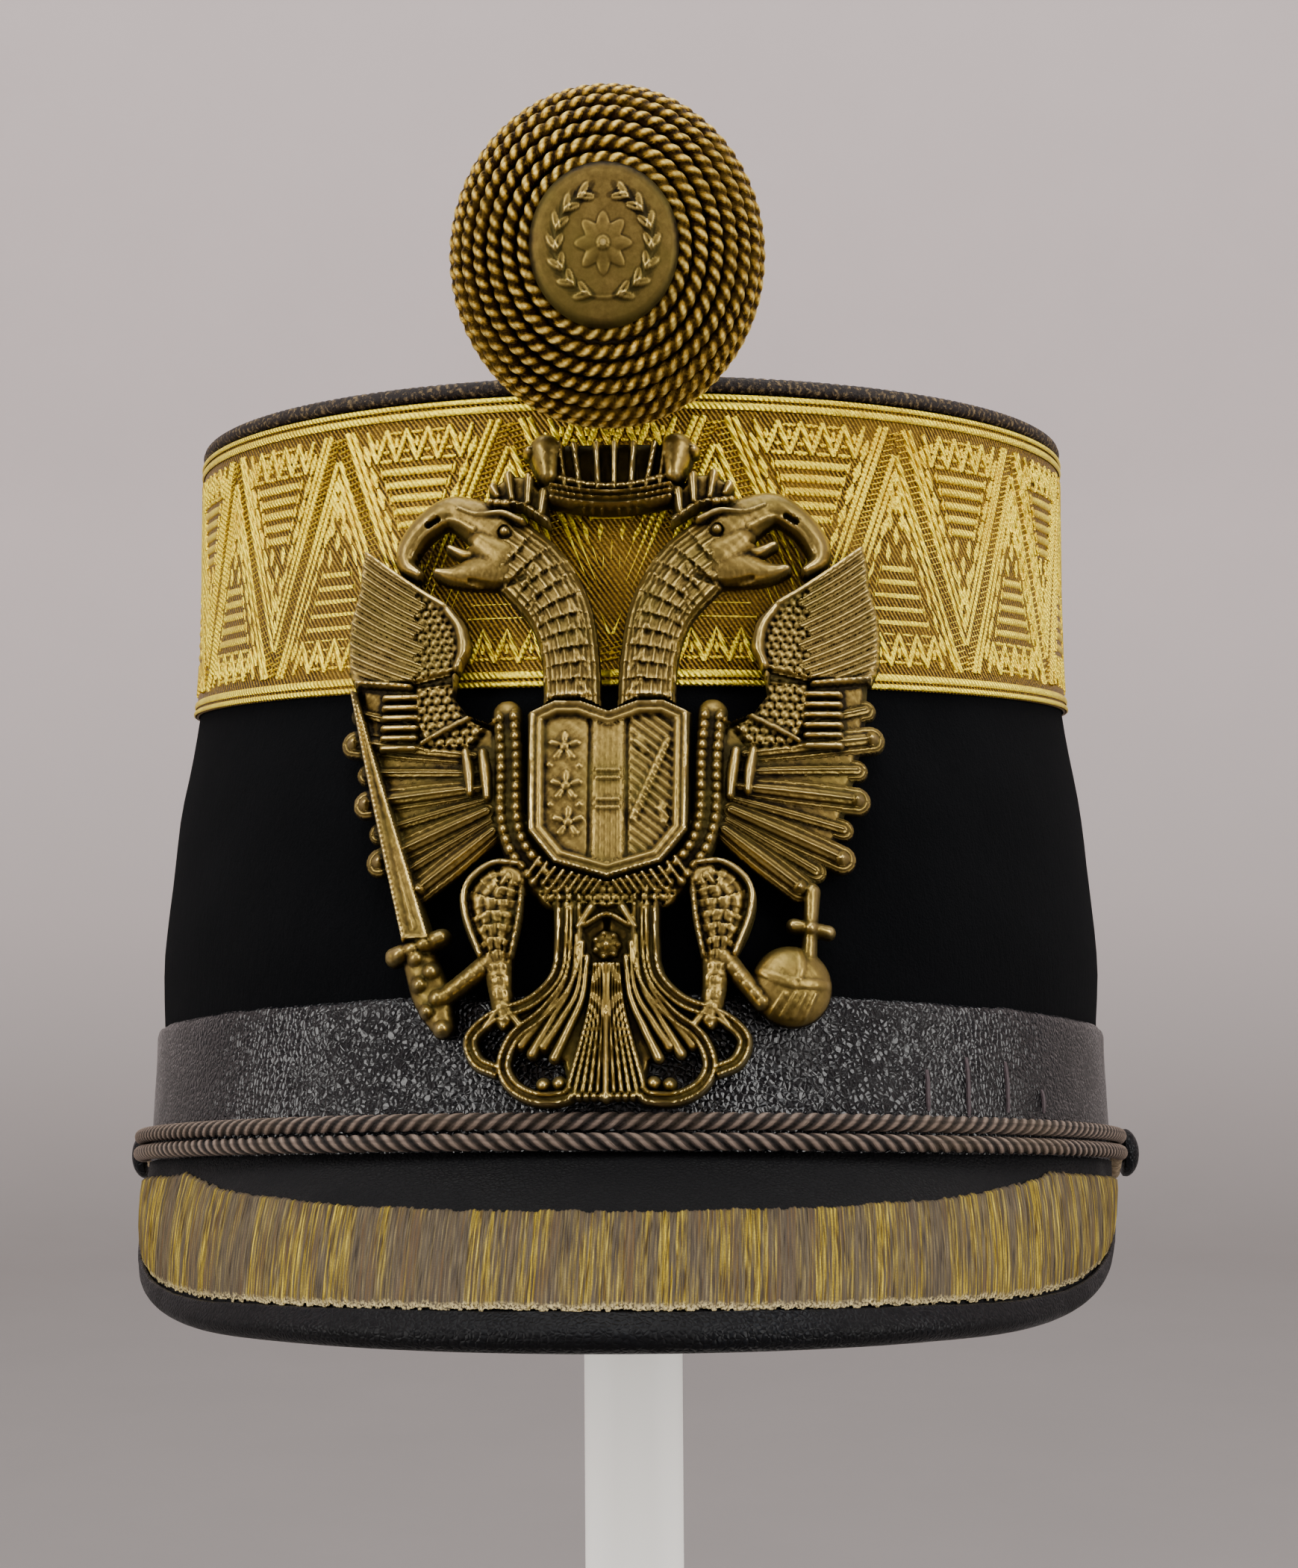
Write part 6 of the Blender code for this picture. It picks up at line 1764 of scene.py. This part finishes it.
# Floor, light and camera
def make_stage():
    """A pale round floor that curves up into a wall all round."""
    look = Look("backdrop", Roughness=0.95, Specular_IOR_Level=0.1)
    place = look.place()
    mottle = look.noise(place, 9.0, 5.0, 0.65)
    grain = look.noise(place, 260.0, 3.0, 0.6)
    mottling = look.plus(look.times(mottle, 0.8), look.times(grain, 0.2))
    # Painted shade: the colour darkens from the wall down to the floor.
    height = look.node("ShaderNodeSeparateXYZ", {0: place}).outputs["Z"]
    fall = look.ramp(height, (0.0, (0.185, 0.170, 0.165)), (0.25, (0.37, 0.328, 0.322)),
                     (0.62, (0.53, 0.462, 0.458)))
    material = look.finish(look.mix(look.times(mottling, 0.22), fall, (0.30, 0.27, 0.265)))
    flat, bend, tall, sides = 1.4, 0.7, 3.0, 96
    profile = [(0.5 * flat, 0.0), (flat, 0.0)]
    profile += [(flat + bend * math.sin(turn), bend - bend * math.cos(turn))
                for turn in np.radians(np.linspace(0.0, 90.0, 17)[1:])]
    profile.append((flat + bend, tall))
    points = np.vstack([oval(reach, reach, full_turn(sides), level) for reach, level in profile]
                       + [np.zeros((1, 3))])
    after = [(k + 1) % sides for k in range(sides)]
    faces = [(row * sides + k, (row + 1) * sides + k, (row + 1) * sides + after[k], row * sides + after[k])
             for row in range(len(profile) - 1) for k in range(sides)]
    faces += [(len(points) - 1, k, after[k]) for k in range(sides)]
    mesh = bpy.data.meshes.new("backdrop")
    mesh.from_pydata(points.tolist(), [], faces)
    mesh.materials.append(material)
    mesh.shade_smooth()
    backdrop = bpy.data.objects.new("backdrop", mesh)
    bpy.context.collection.objects.link(backdrop)


def make_light(name, place, aim, size, power, colour=(1.0, 1.0, 1.0)):
    data = bpy.data.lights.new(name, "AREA")
    data.shape = "RECTANGLE"
    data.size, data.size_y = size
    data.energy = power
    data.color = colour
    lamp = bpy.data.objects.new(name, data)
    lamp.location = place
    x, y, z = np.array(aim) - np.array(place)
    lamp.rotation_euler = (math.atan2(math.hypot(x, y), -z), 0.0, math.atan2(-x, y))
    bpy.context.collection.objects.link(lamp)


def make_lights():
    """Two tall windows at the sides, soft light from above and in front, and a wash for the backdrop."""
    hat = (0.0, 0.0, 0.32)
    make_light("left_window", (-1.15, -0.62, 0.62), hat, (0.55, 1.1), 21.0, (1.0, 0.985, 0.95))
    make_light("right_window", (1.15, -0.55, 0.62), hat, (0.55, 1.1), 20.0, (1.0, 0.99, 0.96))
    make_light("overhead", (0.0, -0.45, 1.35), hat, (1.1, 0.7), 10.0)
    make_light("front_fill", (0.05, -1.8, 0.45), hat, (0.5, 0.4), 3.0)
    make_light("high_wash", (0.0, 0.0, 3.2), (0.0, 0.0, 0.0), (3.0, 3.0), 60.0)
    make_light("backdrop_wash", (0.0, 0.6, 2.2), (0.0, 2.1, 0.7), (2.4, 0.5), 30.0)
    world = bpy.data.worlds.new("studio")
    world.use_nodes = True
    background = world.node_tree.nodes["Background"]
    background.inputs["Color"].default_value = (0.86, 0.84, 0.84, 1.0)
    background.inputs["Strength"].default_value = 0.20
    bpy.context.scene.world = world


def make_camera():
    """At the photograph's viewing angle: level with the hat, a little to the wearer's left."""
    data = bpy.data.cameras.new("camera")
    data.sensor_width = SENSOR_WIDTH
    data.lens = SENSOR_WIDTH * FOCAL_PIXELS / PHOTO_HEIGHT_PIXELS
    data.shift_x = SHIFT_PIXELS / PHOTO_HEIGHT_PIXELS
    data.clip_start = 0.02
    data.clip_end = 50.0
    camera = bpy.data.objects.new("camera", data)
    camera.location = (CAMERA_AWAY * math.sin(CAMERA_TURN), -CAMERA_AWAY * math.cos(CAMERA_TURN),
                       SEAM_HEIGHT + CAMERA_ABOVE_SEAM)
    camera.rotation_euler = (0.5 * math.pi + CAMERA_PITCH, CAMERA_ROLL, CAMERA_TURN)
    bpy.context.collection.objects.link(camera)
    bpy.context.scene.camera = camera


def main():
    make_camera()
    make_lights()
    make_stage()

    visor_leather = leather_look("visor_leather", 0.50, 1500.0, 0.00036, (0.005, 0.005, 0.005), 0.09)
    edge_leather = leather_look("edge_leather", 0.28, 1300.0, 0.00022, (0.003, 0.004, 0.006), 0.08)
    make_felt(felt_look())
    make_leather_band(leather_look("grained_leather", 0.11, 1150.0, 0.00030, (0.002, 0.003, 0.005), 0.30))
    make_lid(visor_leather)
    make_piping(piping_look())
    make_lace(
        gold_thread_look("gold_ground", deep=(0.014, 0.006, 0.0007), mid=(0.27, 0.150, 0.008),
                         bright=(0.95, 0.62, 0.04), tarnish=(0.18, 0.10, 0.010), metallic=0.66, fine=1900.0,
                         twill=0.24),
        gold_thread_look("gold_lace", deep=(0.040, 0.018, 0.001), mid=(0.72, 0.46, 0.010),
                         bright=(1.0, 0.84, 0.045), tarnish=(0.48, 0.27, 0.008), metallic=0.86, fine=1700.0,
                         twill=0.26))
    make_visor_plate(visor_leather)
    make_visor_binding(edge_leather)
    make_visor_lace(visor_lace_look())
    cord = cord_look()
    make_cord("cord_upper", "chin_cord_upper", True, cord)
    make_cord("cord_lower", "chin_cord_lower", False, cord)
    make_button("button_right", "side_button_right", -1.0, edge_leather)
    make_button("button_left", "side_button_left", 1.0, edge_leather)
    make_stitches(thread_look())
    make_badge(brass_look("aged_brass", 0.30, 0.45, 0.475))
    make_cockade(
        gold_thread_look("gold_bullion", deep=(0.014, 0.006, 0.0007), mid=(0.36, 0.205, 0.020),
                         bright=(1.0, 0.80, 0.24), tarnish=(0.14, 0.080, 0.010), metallic=0.90, fine=2200.0),
        gold_thread_look("bullion_core", deep=(0.02, 0.012, 0.003), mid=(0.12, 0.08, 0.02),
                         bright=(0.2, 0.14, 0.04), tarnish=(0.05, 0.035, 0.01), metallic=0.3, fine=1500.0))
    make_disc(brass_look("disc_brass", 0.40, 0.30, 0.42))
    make_stem(visor_leather)
    make_stand(paint_look())


main()
